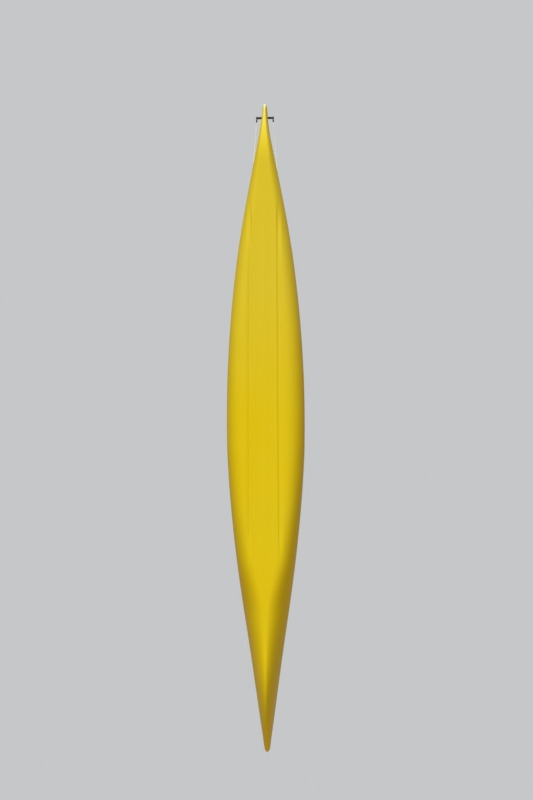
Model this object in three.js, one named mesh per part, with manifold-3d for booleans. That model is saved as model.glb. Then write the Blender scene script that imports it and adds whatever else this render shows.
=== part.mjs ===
// A sit-in touring kayak with a stern rudder, in millimetres: +X to the bow, +Y to port, +Z up.
// The hull lies on its bottom at z = 0. "a" is the distance back from the bow tip.
import * as THREE from "three";
import { mergeVertices } from "three/addons/utils/BufferGeometryUtils.js";
import Module from "manifold-3d";

const wasm = await Module();
wasm.setup();

// Overall sizes
const LENGTH = 5100;
const BOW_X = 2573;
const STERN_X = BOW_X - LENGTH;
const WALL = 5;
const GAP = 0.3;

// Keel rise at each end: height at the tip, length of the rise and power of the curve
const BOW_RISE = { height: 300, length: 700, power: 2.2 };
const STERN_RISE = { height: 222, length: 620, power: 2.2 };

// Half beam at the sheer
const BEAM = [
  { a: 0, half: 13 },
  { a: 20, half: 18 },
  { a: 50, half: 23 },
  { a: 100, half: 30 },
  { a: 200, half: 45 },
  { a: 300, half: 59.5 },
  { a: 500, half: 88.4 },
  { a: 700, half: 118 },
  { a: 900, half: 149 },
  { a: 1100, half: 180.5 },
  { a: 1300, half: 209.5 },
  { a: 1500, half: 235.3 },
  { a: 1750, half: 262.3 },
  { a: 2000, half: 283.5 },
  { a: 2250, half: 297 },
  { a: 2500, half: 300.5 },
  { a: 2750, half: 297.8 },
  { a: 3000, half: 288.3 },
  { a: 3250, half: 272.6 },
  { a: 3500, half: 251 },
  { a: 3750, half: 223.4 },
  { a: 4000, half: 188.2 },
  { a: 4250, half: 146.8 },
  { a: 4500, half: 101.2 },
  { a: 4650, half: 72.3 },
  { a: 4800, half: 46.6 },
  { a: 4900, half: 32.3 },
  { a: 5000, half: 21.9 },
  { a: 5060, half: 18.7 },
  { a: 5090, half: 16.2 },
  { a: 5100, half: 12.2 },
];

// Sheer height, deck crown over the sheer, flat half width of the bottom, power of the side curve
const SHAPE = [
  { a: 0, sheer: 335, crown: 6, flat: 3, side: 1.7 },
  { a: 150, sheer: 323, crown: 22, flat: 3, side: 1.6 },
  { a: 300, sheer: 312, crown: 38, flat: 3, side: 1.55 },
  { a: 600, sheer: 291, crown: 62, flat: 3, side: 1.55 },
  { a: 1000, sheer: 264, crown: 86, flat: 12, side: 1.7 },
  { a: 1400, sheer: 247, crown: 100, flat: 82, side: 2.15 },
  { a: 1800, sheer: 237, crown: 110, flat: 128, side: 2.25 },
  { a: 2200, sheer: 233, crown: 113, flat: 143, side: 2.25 },
  { a: 2450, sheer: 232, crown: 99, flat: 145, side: 2.25 },
  { a: 2750, sheer: 232, crown: 71, flat: 145, side: 2.25 },
  { a: 3060, sheer: 232, crown: 46, flat: 143, side: 2.25 },
  { a: 3300, sheer: 232, crown: 43, flat: 135, side: 2.2 },
  { a: 3700, sheer: 235, crown: 43, flat: 112, side: 2.15 },
  { a: 4000, sheer: 238, crown: 40, flat: 82, side: 2.1 },
  { a: 4300, sheer: 244, crown: 35, flat: 50, side: 2.05 },
  { a: 4600, sheer: 252, crown: 26, flat: 26, side: 2.0 },
  { a: 4850, sheer: 261, crown: 15, flat: 9, side: 2.0 },
  { a: 5000, sheer: 268, crown: 8, flat: 4, side: 2.1 },
  { a: 5100, sheer: 272, crown: 4, flat: 3, side: 2.2 },
];
const DECK_POWER = 2.6;
const DECK_ROOT = 0.75;

// The two shallow grooves along the bottom
const GROOVE = { y: 101, halfWidth: 15, depth: 7, from: 1330, to: 4120, ramp: 300 };

// Cockpit opening and its coaming
const COCKPIT = {
  a: 2630,
  halfLength: 430,
  halfWidth: 208,
  taper: 0.16,
  frontTop: 371,
  rearTop: 303,
  wall: 6,
  rim: 22,
  rimThick: 5,
};

// Hatches: centre, half sizes of the mouth, height of the rim top
const HATCHES = [
  { name: "bow", a: 1060, rx: 150, ry: 96, top: 366 },
  { name: "stern", a: 3640, rx: 205, ry: 138, top: 292 },
];
const RIM = { wall: 5, flange: 14, thick: 4 };
const LID = { clear: 5, skirt: 4, thick: 6, drop: 3 };

// Bulkheads, seat and foot rails
const BULKHEADS = [
  { name: "bow", a: 1480, thick: 8 },
  { name: "stern", a: 3140, thick: 8 },
];
const SEAT = { front: 2560, back: 2960, half: 186, skin: 6, cheekFront: 2700, cheekBack: 2856 };
const RAIL = { front: 1620, back: 2060, low: 104, high: 130, depth: 12 };
const PEDAL = { a: 1800, thick: 12, inner: 158, low: 62, high: 186 };

// Rudder, measured from the stern tip: s forward of the tip is positive
const RUDDER = {
  axisS: 90,
  hingeS: -28,
  hingeZ: 362,
  plateTop: 283,
  bossTop: 289,
  yokeLow: 290,
  yokeHigh: 299,
  yokeHalf: 74,
  cheekIn: 9,
  cheekOut: 13,
  pin: 5,
  hub: 18,
  bladeHalf: 4,
  armLength: 160,
  bladeLength: 490,
  leading: 40,
  trailing: 57,
};
const CABLE = { radius: 1.6, endS: 600, endY: 99 };

const root = new THREE.Group();
root.name = "kayak";

// Helpers
const X = (a) => BOW_X - a;
const S = (s) => STERN_X + s;

function smooth(t) {
  const c = Math.min(1, Math.max(0, t));
  return c * c * (3 - 2 * c);
}

// A smooth curve through the rows of a table that doesn't swing past them
function curve(rows, key) {
  const x = rows.map((r) => r.a);
  const y = rows.map((r) => r[key]);
  const n = x.length;
  const d = [];
  for (let i = 0; i < n - 1; i++) d.push((y[i + 1] - y[i]) / (x[i + 1] - x[i]));
  const m = [d[0]];
  for (let i = 1; i < n - 1; i++) {
    const h0 = x[i] - x[i - 1];
    const h1 = x[i + 1] - x[i];
    const w0 = 2 * h1 + h0;
    const w1 = h1 + 2 * h0;
    m.push(d[i - 1] * d[i] <= 0 ? 0 : (w0 + w1) / (w0 / d[i - 1] + w1 / d[i]));
  }
  m.push(d[n - 2]);
  return (v) => {
    let i = 0;
    while (i < n - 2 && v > x[i + 1]) i++;
    const h = x[i + 1] - x[i];
    const t = (v - x[i]) / h;
    const t2 = t * t;
    const t3 = t2 * t;
    return (
      (2 * t3 - 3 * t2 + 1) * y[i] +
      (t3 - 2 * t2 + t) * h * m[i] +
      (3 * t2 - 2 * t3) * y[i + 1] +
      (t3 - t2) * h * m[i + 1]
    );
  };
}
const beam = curve(BEAM, "half");
const sheer = curve(SHAPE, "sheer");
const crown = curve(SHAPE, "crown");
const flat = curve(SHAPE, "flat");
const side = curve(SHAPE, "side");

function keel(a) {
  const s = LENGTH - a;
  if (a < BOW_RISE.length) return BOW_RISE.height * (1 - a / BOW_RISE.length) ** BOW_RISE.power;
  if (s < STERN_RISE.length) return STERN_RISE.height * (1 - s / STERN_RISE.length) ** STERN_RISE.power;
  return 0;
}

// Height of the hull's outer skin at distance y from the centre, and of the deck's outer skin
function hullZ(a, y) {
  const f = flat(a);
  const d = sheer(a) - keel(a);
  if (y <= f) return keel(a);
  const u = Math.min(1, (y - f) / (beam(a) - f));
  return sheer(a) - d * (1 - u ** side(a)) ** (1 / side(a));
}
function deckZ(a, y) {
  const u = Math.min(1, Math.abs(y) / beam(a));
  return sheer(a) + crown(a) * (1 - u ** DECK_POWER) ** DECK_ROOT;
}

function solid(geometry) {
  const g = geometry.clone();
  g.deleteAttribute("normal");
  g.deleteAttribute("uv");
  const merged = mergeVertices(g, 1e-4);
  return new wasm.Manifold(
    new wasm.Mesh({
      numProp: 3,
      vertProperties: merged.attributes.position.array,
      triVerts: new Uint32Array(merged.index.array),
    }),
  );
}
function geometryOf(manifold) {
  const m = manifold.getMesh();
  const g = new THREE.BufferGeometry();
  g.setAttribute("position", new THREE.BufferAttribute(new Float32Array(m.vertProperties), 3));
  g.setIndex(new THREE.BufferAttribute(new Uint32Array(m.triVerts), 1));
  return g;
}
function add(name, manifold, colour, roughness) {
  const g = geometryOf(manifold).toNonIndexed();
  g.computeVertexNormals();
  const material = new THREE.MeshStandardMaterial({ color: colour, roughness });
  const mesh = new THREE.Mesh(g, material);
  mesh.name = name;
  root.add(mesh);
}

// A closed body through a row of rings that have the same number of points
function loft(rings) {
  const n = rings[0].length;
  const pos = [];
  const index = [];
  for (const ring of rings) for (const p of ring) pos.push(p.x, p.y, p.z);
  for (let i = 0; i < rings.length - 1; i++)
    for (let j = 0; j < n; j++) {
      const k = (j + 1) % n;
      const p = i * n + j;
      const q = i * n + k;
      index.push(p, q, p + n, q, q + n, p + n);
    }
  for (const [ring, base, turn] of [
    [rings[0], 0, true],
    [rings[rings.length - 1], (rings.length - 1) * n, false],
  ]) {
    const acrossX = Math.abs(ring[0].x - ring[3].x) < 1e-6 && Math.abs(ring[0].x - ring[2].x) < 1e-6;
    const flatRing = ring.map((p) => new THREE.Vector2(acrossX ? p.y : p.x, p.z));
    const clockwise = THREE.ShapeUtils.isClockWise(flatRing);
    const order = flatRing.map((_, j) => (clockwise ? n - 1 - j : j));
    const faces = THREE.ShapeUtils.triangulateShape(
      order.map((j) => flatRing[j]),
      [],
    );
    for (const [u, v, w] of faces) {
      const f = [order[u], order[v], order[w]];
      if (clockwise === turn) index.push(base + f[0], base + f[1], base + f[2]);
      else index.push(base + f[0], base + f[2], base + f[1]);
    }
  }
  const g = new THREE.BufferGeometry();
  g.setAttribute("position", new THREE.Float32BufferAttribute(pos, 3));
  g.setIndex(index);
  const merged = mergeVertices(g, 1e-4);
  const keep = [];
  const ix = merged.index.array;
  for (let i = 0; i < ix.length; i += 3)
    if (ix[i] !== ix[i + 1] && ix[i + 1] !== ix[i + 2] && ix[i] !== ix[i + 2])
      keep.push(ix[i], ix[i + 1], ix[i + 2]);
  merged.setIndex(keep);
  let body = solid(merged);
  if (body.volume() < 0) {
    for (let i = 0; i < keep.length; i += 3) [keep[i + 1], keep[i + 2]] = [keep[i + 2], keep[i + 1]];
    merged.setIndex(keep);
    body = solid(merged);
  }
  return body;
}
const V = (x, y, z) => new THREE.Vector3(x, y, z);

function box(x0, x1, y0, y1, z0, z1) {
  const g = new THREE.BoxGeometry(x1 - x0, y1 - y0, z1 - z0);
  g.translate((x0 + x1) / 2, (y0 + y1) / 2, (z0 + z1) / 2);
  return solid(g);
}
function prism(points, z0, z1) {
  const g = new THREE.ExtrudeGeometry(new THREE.Shape(points), {
    depth: z1 - z0,
    bevelEnabled: false,
  });
  g.translate(0, 0, z0);
  return solid(g);
}
// A prism whose outline lies in the X-Z plane, from y0 to y1
function plate(points, y0, y1) {
  const g = new THREE.ExtrudeGeometry(new THREE.Shape(points), {
    depth: y1 - y0,
    bevelEnabled: false,
  });
  g.rotateX(Math.PI / 2);
  g.translate(0, y1, 0);
  return solid(g);
}
function cylinder(radius, from, to, sides = 20) {
  const axis = to.clone().sub(from);
  const g = new THREE.CylinderGeometry(radius, radius, axis.length(), sides);
  g.applyQuaternion(new THREE.Quaternion().setFromUnitVectors(V(0, 1, 0), axis.clone().normalize()));
  const mid = from.clone().add(to).multiplyScalar(0.5);
  g.translate(mid.x, mid.y, mid.z);
  return solid(g);
}
function tube(points, radius, steps, sides = 8) {
  const shape = new THREE.Shape();
  for (let i = 0; i <= sides; i++) {
    const t = (i / sides) * 2 * Math.PI;
    const p = [radius * Math.cos(t), radius * Math.sin(t)];
    if (i === 0) shape.moveTo(...p);
    else if (i < sides) shape.lineTo(...p);
  }
  shape.closePath();
  return solid(
    new THREE.ExtrudeGeometry(shape, {
      steps,
      bevelEnabled: false,
      extrudePath: new THREE.CatmullRomCurve3(points),
    }),
  );
}
function oval(cx, rx, ry, taper = 0, steps = 40) {
  const out = [];
  for (let i = 0; i < steps; i++) {
    const t = (i / steps) * 2 * Math.PI;
    out.push(new THREE.Vector2(cx + rx * Math.cos(t), ry * Math.sin(t) * (1 - taper * Math.cos(t))));
  }
  return out;
}

// Hull and deck skins
const STATIONS = [
  0, 10, 30, 70, 130, 210, 310, 430, 560, 700, 850, 1000, 1160, 1330, 1500, 1700, 1900, 2100, 2300,
  2500, 2700, 2900, 3100, 3300, 3500, 3700, 3900, 4060, 4210, 4350, 4480, 4600, 4710, 4810, 4900,
  4970, 5030, 5070, 5092, 5100,
];
const SIDE_STEPS = 8;
const DECK_STEPS = 12;

function hullRing(a, wall, lift = 0) {
  const b = beam(a) - wall;
  const low = keel(a) + wall;
  const high = sheer(a);
  const f = Math.min(flat(a), b - 2);
  const m = side(a);
  const half = [];
  for (let i = 0; i <= SIDE_STEPS; i++) {
    const t = (Math.PI / 2) * (1 - i / SIDE_STEPS);
    const y = f + (b - f) * Math.sin(t) ** (2 / m);
    const z = high - (high - low) * Math.cos(t) ** (2 / m);
    half.push([y, i === 0 ? high : z]);
  }
  const ring = half.map(([y, z]) => V(X(a), y, z + lift));
  for (const [y, z] of half.reverse()) ring.push(V(X(a), -y, z + lift));
  return ring;
}
function deckArc(a, wall, lift = 0) {
  const b = beam(a) - wall;
  const c = Math.max(1, crown(a) - wall);
  const arc = [];
  for (let i = 1; i < DECK_STEPS; i++) {
    const y = -b * Math.cos((Math.PI * i) / DECK_STEPS);
    const z = sheer(a) + c * (1 - (Math.abs(y) / b) ** DECK_POWER) ** DECK_ROOT;
    arc.push(V(X(a), y, z + lift));
  }
  return arc;
}
function cavity(wall, drop = 0) {
  const rings = [];
  for (const a of STATIONS)
    if (a >= 130 && a <= LENGTH - 190) rings.push([...hullRing(a, wall, -drop), ...deckArc(a, wall, -drop)]);
  return loft(rings);
}
// The room that a groove takes, grown by the skin's thickness for the inside
function groove(sign, grow) {
  const rings = [];
  const n = 10;
  for (let i = 0; i <= 22; i++) {
    const a = GROOVE.from + ((GROOVE.to - GROOVE.from) * i) / 22;
    const fade = smooth((a - GROOVE.from) / GROOVE.ramp) * smooth((GROOVE.to - a) / GROOVE.ramp);
    const base = hullZ(a, GROOVE.y);
    const w = GROOVE.halfWidth * (0.3 + 0.7 * fade) + grow;
    const h = GROOVE.depth * fade + grow - (grow ? 0 : 0.2) * (1 - fade);
    const ring = [];
    for (let j = 0; j <= n; j++) {
      const t = (Math.PI * j) / n;
      ring.push(V(X(a), sign * (GROOVE.y + w * Math.cos(t)), base + h * Math.sin(t)));
    }
    ring.push(V(X(a), sign * (GROOVE.y - w), base - 18));
    ring.push(V(X(a), sign * (GROOVE.y + w), base - 18));
    rings.push(ring);
  }
  return loft(rings);
}
const roomInside = (wall) => cavity(wall).subtract(groove(1, wall)).subtract(groove(-1, wall));

const outerHull = loft(STATIONS.map((a) => hullRing(a, 0)));
const outerDeck = loft(
  STATIONS.map((a) => [
    ...[...deckArc(a, 0)].map((p) => V(p.x, p.y, p.z + GAP)),
    V(X(a), beam(a), sheer(a) + GAP),
    V(X(a), -beam(a), sheer(a) + GAP),
  ]),
);
// The whole outside grown by the gap, for what stands on the deck
const overSkin = loft(
  STATIONS.filter((a) => a > 60 && a < 5095).map((a) => [...hullRing(a, -GAP), ...deckArc(a, -GAP, GAP)]),
);
const skinRoom = roomInside(WALL);
const shrunkRoom = roomInside(WALL + GAP);
const hullSkin = outerHull.subtract(groove(1, 0)).subtract(groove(-1, 0)).subtract(skinRoom);

// Cockpit plane: its height falls from front to rear
const cockpitFront = X(COCKPIT.a - COCKPIT.halfLength);
const cockpitSlope = (COCKPIT.frontTop - COCKPIT.rearTop) / (2 * COCKPIT.halfLength);
const coamingTop = (x) => COCKPIT.frontTop - (cockpitFront - x) * cockpitSlope;
function sheared(manifold) {
  const g = geometryOf(manifold);
  const p = g.attributes.position;
  for (let i = 0; i < p.count; i++) p.setZ(i, p.getZ(i) + coamingTop(p.getX(i)));
  return solid(g);
}
const cockpitOval = (grow, steps = 48) =>
  oval(X(COCKPIT.a), COCKPIT.halfLength + grow, COCKPIT.halfWidth + grow, COCKPIT.taper, steps);

let deckSkin = outerDeck.subtract(skinRoom);
deckSkin = deckSkin.subtract(sheared(prism(cockpitOval(GAP), -220, 60)));
for (const h of HATCHES)
  deckSkin = deckSkin.subtract(prism(oval(X(h.a), h.rx + GAP, h.ry + GAP), 200, 420));
add("hull_shell", hullSkin, 0xdcc01e, 0.45);
add("deck_shell", deckSkin, 0xdcc01e, 0.45);

// Coaming: a wall through the deck with a rim round its top
{
  const lower = cavity(WALL, 9);
  let wall = sheared(prism(cockpitOval(0), -150, 0).subtract(prism(cockpitOval(-COCKPIT.wall), -160, 10)));
  wall = wall.subtract(lower);
  const rim = sheared(
    prism(cockpitOval(COCKPIT.rim), -COCKPIT.rimThick, 0).subtract(prism(cockpitOval(-COCKPIT.wall), -20, 10)),
  );
  add("cockpit_coaming", wall.add(rim), 0x24262a, 0.5);
}

// Hatch rims and lids
for (const h of HATCHES) {
  const cx = X(h.a);
  const inner = (z0, z1) => prism(oval(cx, h.rx - RIM.wall, h.ry - RIM.wall), z0, z1);
  const wall = prism(oval(cx, h.rx, h.ry), h.top - 80, h.top).subtract(inner(h.top - 90, h.top + 5));
  const flange = prism(oval(cx, h.rx + RIM.flange, h.ry + RIM.flange), h.top - RIM.thick, h.top).subtract(
    inner(h.top - 20, h.top + 5),
  );
  add(h.name + "_hatch_rim", wall.subtract(cavity(WALL, 8)).add(flange), 0x1e2023, 0.6);
  const out = RIM.flange + LID.clear + LID.skirt;
  const cap = prism(oval(cx, h.rx + out, h.ry + out), h.top - LID.drop, h.top + LID.thick);
  const crownDisc = prism(oval(cx, h.rx - 12, h.ry - 12), h.top + 1, h.top + LID.thick + 3);
  const under = RIM.flange + LID.clear;
  const room = prism(oval(cx, h.rx + under, h.ry + under), h.top - 20, h.top + 0.4);
  add(h.name + "_hatch_lid", cap.add(crownDisc).subtract(room), 0x1b1c1f, 0.7);
}

// Bulkheads
for (const b of BULKHEADS) {
  const slab = box(X(b.a + b.thick / 2), X(b.a - b.thick / 2), -400, 400, -50, 500);
  add(b.name + "_bulkhead", slab.intersect(shrunkRoom), 0x55585c, 0.8);
}

// Seat: a curved pan that rests on the floor, with a cheek up to the deck on each side
{
  const pan = (low, high, first, last, reach) => {
    const rings = [];
    for (let i = first; i <= last; i++) {
      const t = i / 8;
      const a = SEAT.front + (SEAT.back - SEAT.front) * t;
      const lip = 14 * (1 - smooth(t * 4)) + 26 * smooth((t - 0.75) * 4);
      const top = [];
      const under = [];
      for (let j = -reach; j <= reach; j++) {
        const y = (SEAT.half * j) / 8;
        const z = 5.6 + lip + 84 * (Math.abs(y) / SEAT.half) ** 2.6;
        top.push(V(X(a), y, z + high));
        under.push(V(X(a), y, z + low));
      }
      rings.push([...top, ...under.reverse()]);
    }
    return loft(rings);
  };
  let seat = pan(0, SEAT.skin, 0, 8, 8);
  for (const sign of [1, -1]) {
    const y0 = sign > 0 ? SEAT.half - 8 : -SEAT.half + 2;
    const outline = [
      [SEAT.cheekBack, 70],
      [SEAT.cheekFront - 40, 70],
      [SEAT.cheekFront, 262],
      [SEAT.cheekBack, 262],
    ].map(([a, z]) => new THREE.Vector2(X(a), z));
    seat = seat.add(plate(outline, y0, y0 + 6));
  }
  seat = seat.intersect(shrunkRoom);
  add("seat_pan", seat, 0x1d1e20, 0.7);
  add("seat_pad", pan(SEAT.skin + GAP, SEAT.skin + 9, 1, 7, 6), 0x2b2c30, 0.95);
}

// Backrest: a padded band between the cheeks
{
  const rings = [];
  const reach = SEAT.half - 8 - GAP;
  for (let i = 0; i <= 12; i++) {
    const y = reach * (i / 6 - 1);
    const back = X(2950 - 110 * (y / reach) ** 2);
    const low = 128 + 14 * (y / reach) ** 2;
    const high = 252 - 40 * (y / reach) ** 2;
    rings.push([V(back, y, low), V(back - 8, y, (low + high) / 2), V(back, y, high), V(back + 20, y, high - 6), V(back + 20, y, low + 6)]);
  }
  add("backrest", loft(rings), 0x26272b, 0.95);
}

// Thigh braces: pads that reach in from the coaming's wall
for (const [name, sign] of [
  ["thigh_brace_port", 1],
  ["thigh_brace_starboard", -1],
]) {
  const ring = prism(cockpitOval(-COCKPIT.wall - GAP), -32, -22).subtract(prism(cockpitOval(-62), -60, 10));
  const zone = box(X(2520), X(2325), sign > 0 ? 60 : -400, sign > 0 ? 400 : -60, -60, 20);
  add(name, sheared(ring.intersect(zone)), 0x222326, 0.8);
}

// Foot rails on the hull's sides and a pedal on each
for (const [name, sign] of [
  ["port", 1],
  ["starboard", -1],
]) {
  const y = (v0, v1) => (sign > 0 ? [v0, v1] : [-v1, -v0]);
  const rail = box(X(RAIL.back), X(RAIL.front), ...y(100, 400), RAIL.low, RAIL.high)
    .intersect(shrunkRoom)
    .subtract(cavity(WALL + GAP + RAIL.depth));
  add("foot_rail_" + name, rail, 0x2a2b2e, 0.6);
  const pedal = box(X(PEDAL.a + PEDAL.thick), X(PEDAL.a), ...y(PEDAL.inner, 400), PEDAL.low, PEDAL.high).intersect(
    cavity(WALL + 2 * GAP + RAIL.depth),
  );
  add("foot_pedal_" + name, pedal, 0x1f2022, 0.7);
}

// Carrying handles: a strap that arches over a finger gap
for (const [name, a0, a1] of [
  ["bow_handle", 290, 430],
  ["stern_handle", 4400, 4540],
]) {
  const x0 = X(a1);
  const x1 = X(a0);
  const mid = (a0 + a1) / 2;
  const top = deckZ(mid, 0);
  const under = Math.max(deckZ(a0, 0), deckZ(a1, 0), top) + GAP;
  const outline = [
    [x0, 0],
    [x0 + 24, 0],
    [x0 + 30, 8],
    [x0 + 38, 28],
    [x1 - 38, 28],
    [x1 - 30, 8],
    [x1 - 24, 0],
    [x1, 0],
    [x1, 8],
    [x1 - 14, 10],
    [x1 - 30, 38],
    [x0 + 30, 38],
    [x0 + 14, 10],
    [x0, 8],
  ].map(([x, z]) => new THREE.Vector2(x, under + z));
  add(name, plate(outline, -12, 12).subtract(overSkin), 0x1c1d20, 0.6);
}

// Rudder bracket: a plate on the stern deck with a boss for the steering pin
const axisX = S(RUDDER.axisS);
const deckAtAxis = deckZ(LENGTH - RUDDER.axisS, 0) + GAP;
{
  const outline = [
    [S(8), deckZ(LENGTH - 8, 0) + GAP],
    [S(60), deckZ(LENGTH - 60, 0) + GAP],
    [axisX, deckAtAxis],
    [S(170), deckZ(LENGTH - 170, 0) + GAP],
    [S(170), RUDDER.plateTop],
    [S(8), RUDDER.plateTop],
  ].map(([x, z]) => new THREE.Vector2(x, z));
  const base = plate(outline, -10, 10);
  const boss = cylinder(14, V(axisX, 0, deckAtAxis + 2), V(axisX, 0, RUDDER.bossTop), 24);
  const bore = cylinder(RUDDER.pin + 0.5, V(axisX, 0, deckAtAxis + 2), V(axisX, 0, 300), 20);
  add("rudder_bracket", base.add(boss).subtract(bore).subtract(overSkin), 0x2a2c2f, 0.5);
}

// Rudder head: yoke, steering pin, base and two cheeks with the hinge pin
const hingeX = S(RUDDER.hingeS);
{
  const mid = (RUDDER.yokeLow + RUDDER.yokeHigh) / 2;
  const hub = cylinder(16, V(axisX, 0, RUDDER.yokeLow), V(axisX, 0, RUDDER.yokeHigh), 24);
  const pin = cylinder(RUDDER.pin, V(axisX, 0, deckAtAxis + 2.6), V(axisX, 0, mid), 20);
  const yoke = prism(
    [
      [axisX - 9, -RUDDER.yokeHalf + 20],
      [axisX - 6, -RUDDER.yokeHalf],
      [axisX + 6, -RUDDER.yokeHalf],
      [axisX + 9, -RUDDER.yokeHalf + 20],
      [axisX + 9, RUDDER.yokeHalf - 20],
      [axisX + 6, RUDDER.yokeHalf],
      [axisX - 6, RUDDER.yokeHalf],
      [axisX - 9, RUDDER.yokeHalf - 20],
    ].map(([x, y]) => new THREE.Vector2(x, y)),
    RUDDER.yokeLow,
    RUDDER.yokeHigh,
  );
  const base = box(S(4), axisX, -RUDDER.cheekOut, RUDDER.cheekOut, RUDDER.yokeLow, RUDDER.yokeHigh);
  let head = hub.add(pin).add(yoke).add(base);
  for (const y0 of [RUDDER.cheekIn, -RUDDER.cheekOut]) {
    const y1 = y0 + RUDDER.cheekOut - RUDDER.cheekIn;
    const cheek = plate(
      [
        [S(60), RUDDER.yokeLow + 1],
        [S(60), RUDDER.yokeHigh],
        [hingeX + 20, RUDDER.hingeZ + 10],
        [hingeX - 10, RUDDER.hingeZ + 12],
        [hingeX - 14, RUDDER.hingeZ - 8],
        [S(4), RUDDER.yokeLow + 1],
      ].map(([x, z]) => new THREE.Vector2(x, z)),
      y0,
      y1,
    );
    head = head.add(cheek);
  }
  const cross = cylinder(4, V(hingeX, -RUDDER.cheekOut - 2, RUDDER.hingeZ), V(hingeX, RUDDER.cheekOut + 2, RUDDER.hingeZ), 16);
  add("rudder_head", head.add(cross), 0x232528, 0.5);
}

// Rudder blade, stowed forward over the deck
{
  const r = RUDDER;
  const at = (along, up) => new THREE.Vector2(hingeX + along, r.hingeZ + up);
  const outline = [
    at(0, -16),
    at(r.armLength - 30, -16),
    at(r.armLength, -r.trailing + 12),
    at(r.armLength + 30, -r.trailing),
    at(r.bladeLength - 60, -r.trailing + 8),
    at(r.bladeLength - 14, -r.trailing + 26),
    at(r.bladeLength, -8),
    at(r.bladeLength - 22, r.leading - 24),
    at(r.bladeLength - 90, r.leading - 8),
    at(r.armLength + 30, r.leading),
    at(r.armLength, r.leading - 8),
    at(r.armLength - 30, 16),
    at(0, 16),
  ];
  const blade = plate(outline, -r.bladeHalf, r.bladeHalf);
  const hub = cylinder(r.hub, V(hingeX, -r.bladeHalf, r.hingeZ), V(hingeX, r.bladeHalf, r.hingeZ), 28);
  const bore = cylinder(4.5, V(hingeX, -20, r.hingeZ), V(hingeX, 20, r.hingeZ), 20);
  add("rudder_blade", blade.add(hub).subtract(bore), 0x2f3236, 0.4);
}

// Rest pad below the stowed blade
{
  const a = LENGTH - 330;
  const pad = box(X(a + 30), X(a - 30), -14, 14, deckZ(a, 14) - 8, RUDDER.hingeZ - RUDDER.trailing - 6);
  add("rudder_rest", pad.subtract(overSkin), 0x1c1d20, 0.8);
}

// Cable guides at the deck's edges and the two steering cables
for (const [name, sign] of [
  ["port", 1],
  ["starboard", -1],
]) {
  const endX = S(CABLE.endS);
  const endA = LENGTH - CABLE.endS;
  const y0 = CABLE.endY;
  const z = sheer(endA) + 9;
  const guide = box(endX - 6, endX + 34, ...(sign > 0 ? [y0 - 9, y0 + 4] : [-y0 - 4, -y0 + 9]), z - 16, z + 7);
  const skinned = guide.subtract(overSkin);
  const bore = cylinder(CABLE.radius + GAP, V(endX - 12, sign * y0, z), V(endX + 20, sign * y0, z), 12);
  add("cable_guide_" + name, skinned.subtract(bore), 0x1c1d20, 0.6);
  const yokeEnd = V(axisX + 9, sign * (RUDDER.yokeHalf - 6), (RUDDER.yokeLow + RUDDER.yokeHigh) / 2);
  const path = [V(yokeEnd.x + GAP, yokeEnd.y, yokeEnd.z), V(endX - 60, sign * (y0 - 3), z + 5), V(endX - 6, sign * y0, z), V(endX + 16, sign * y0, z)];
  add("rudder_cable_" + name, tube(path, CABLE.radius, 24, 8), 0xc9ccd0, 0.35);
}

export default root;
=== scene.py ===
"""Looks of a yellow moulded sit-in touring kayak with a stern rudder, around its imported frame.

Metres, +X to the bow, +Y to port, +Z up, with the hull lying on its bottom at z = 0.
"a" is the distance back from the bow tip and "s" the distance forward from the stern tip.
A sign of 1 is the port side and -1 the starboard side.
"""
import math

import bmesh
import bpy
import numpy as np
from mathutils import Matrix, Vector


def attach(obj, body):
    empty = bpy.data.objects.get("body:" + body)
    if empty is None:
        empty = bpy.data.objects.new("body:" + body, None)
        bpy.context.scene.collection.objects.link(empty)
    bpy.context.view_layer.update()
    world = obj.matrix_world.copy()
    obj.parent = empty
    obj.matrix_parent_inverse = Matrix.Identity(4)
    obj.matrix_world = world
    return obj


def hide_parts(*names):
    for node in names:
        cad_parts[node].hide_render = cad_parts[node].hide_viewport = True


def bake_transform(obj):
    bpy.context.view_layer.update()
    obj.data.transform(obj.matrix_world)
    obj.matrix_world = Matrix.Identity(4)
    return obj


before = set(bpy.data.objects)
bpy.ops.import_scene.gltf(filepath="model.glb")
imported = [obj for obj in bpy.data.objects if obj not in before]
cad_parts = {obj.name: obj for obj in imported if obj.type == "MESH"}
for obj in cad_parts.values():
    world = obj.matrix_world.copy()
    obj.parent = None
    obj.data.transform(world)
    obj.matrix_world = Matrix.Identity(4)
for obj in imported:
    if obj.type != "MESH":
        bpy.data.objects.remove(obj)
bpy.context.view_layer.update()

# Sizes shared with the frame
LENGTH = 5.100
BOW_X = 2.573
STERN_X = BOW_X - LENGTH
WALL = 0.005
BOW_RISE = dict(height=0.300, length=0.700, power=2.2)
STERN_RISE = dict(height=0.222, length=0.620, power=2.2)
DECK_POWER, DECK_ROOT = 2.6, 0.75
TIP_ROUND = 0.013

# Half beam at the sheer: distance back from the bow tip, half beam, in millimetres
BEAM = np.array([
    (0, 13), (20, 18), (50, 23), (100, 30), (200, 45), (300, 59.5), (500, 88.4), (700, 118), (900, 149),
    (1100, 180.5), (1300, 209.5), (1500, 235.3), (1750, 262.3), (2000, 283.5), (2250, 297),
    (2500, 300.5), (2750, 297.8), (3000, 288.3), (3250, 272.6), (3500, 251), (3750, 223.4),
    (4000, 188.2), (4250, 146.8), (4500, 101.2), (4650, 72.3), (4800, 46.6), (4900, 32.3), (5000, 21.9),
    (5060, 18.7), (5090, 16.2), (5100, 12.2),
]) / 1000.0

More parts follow.
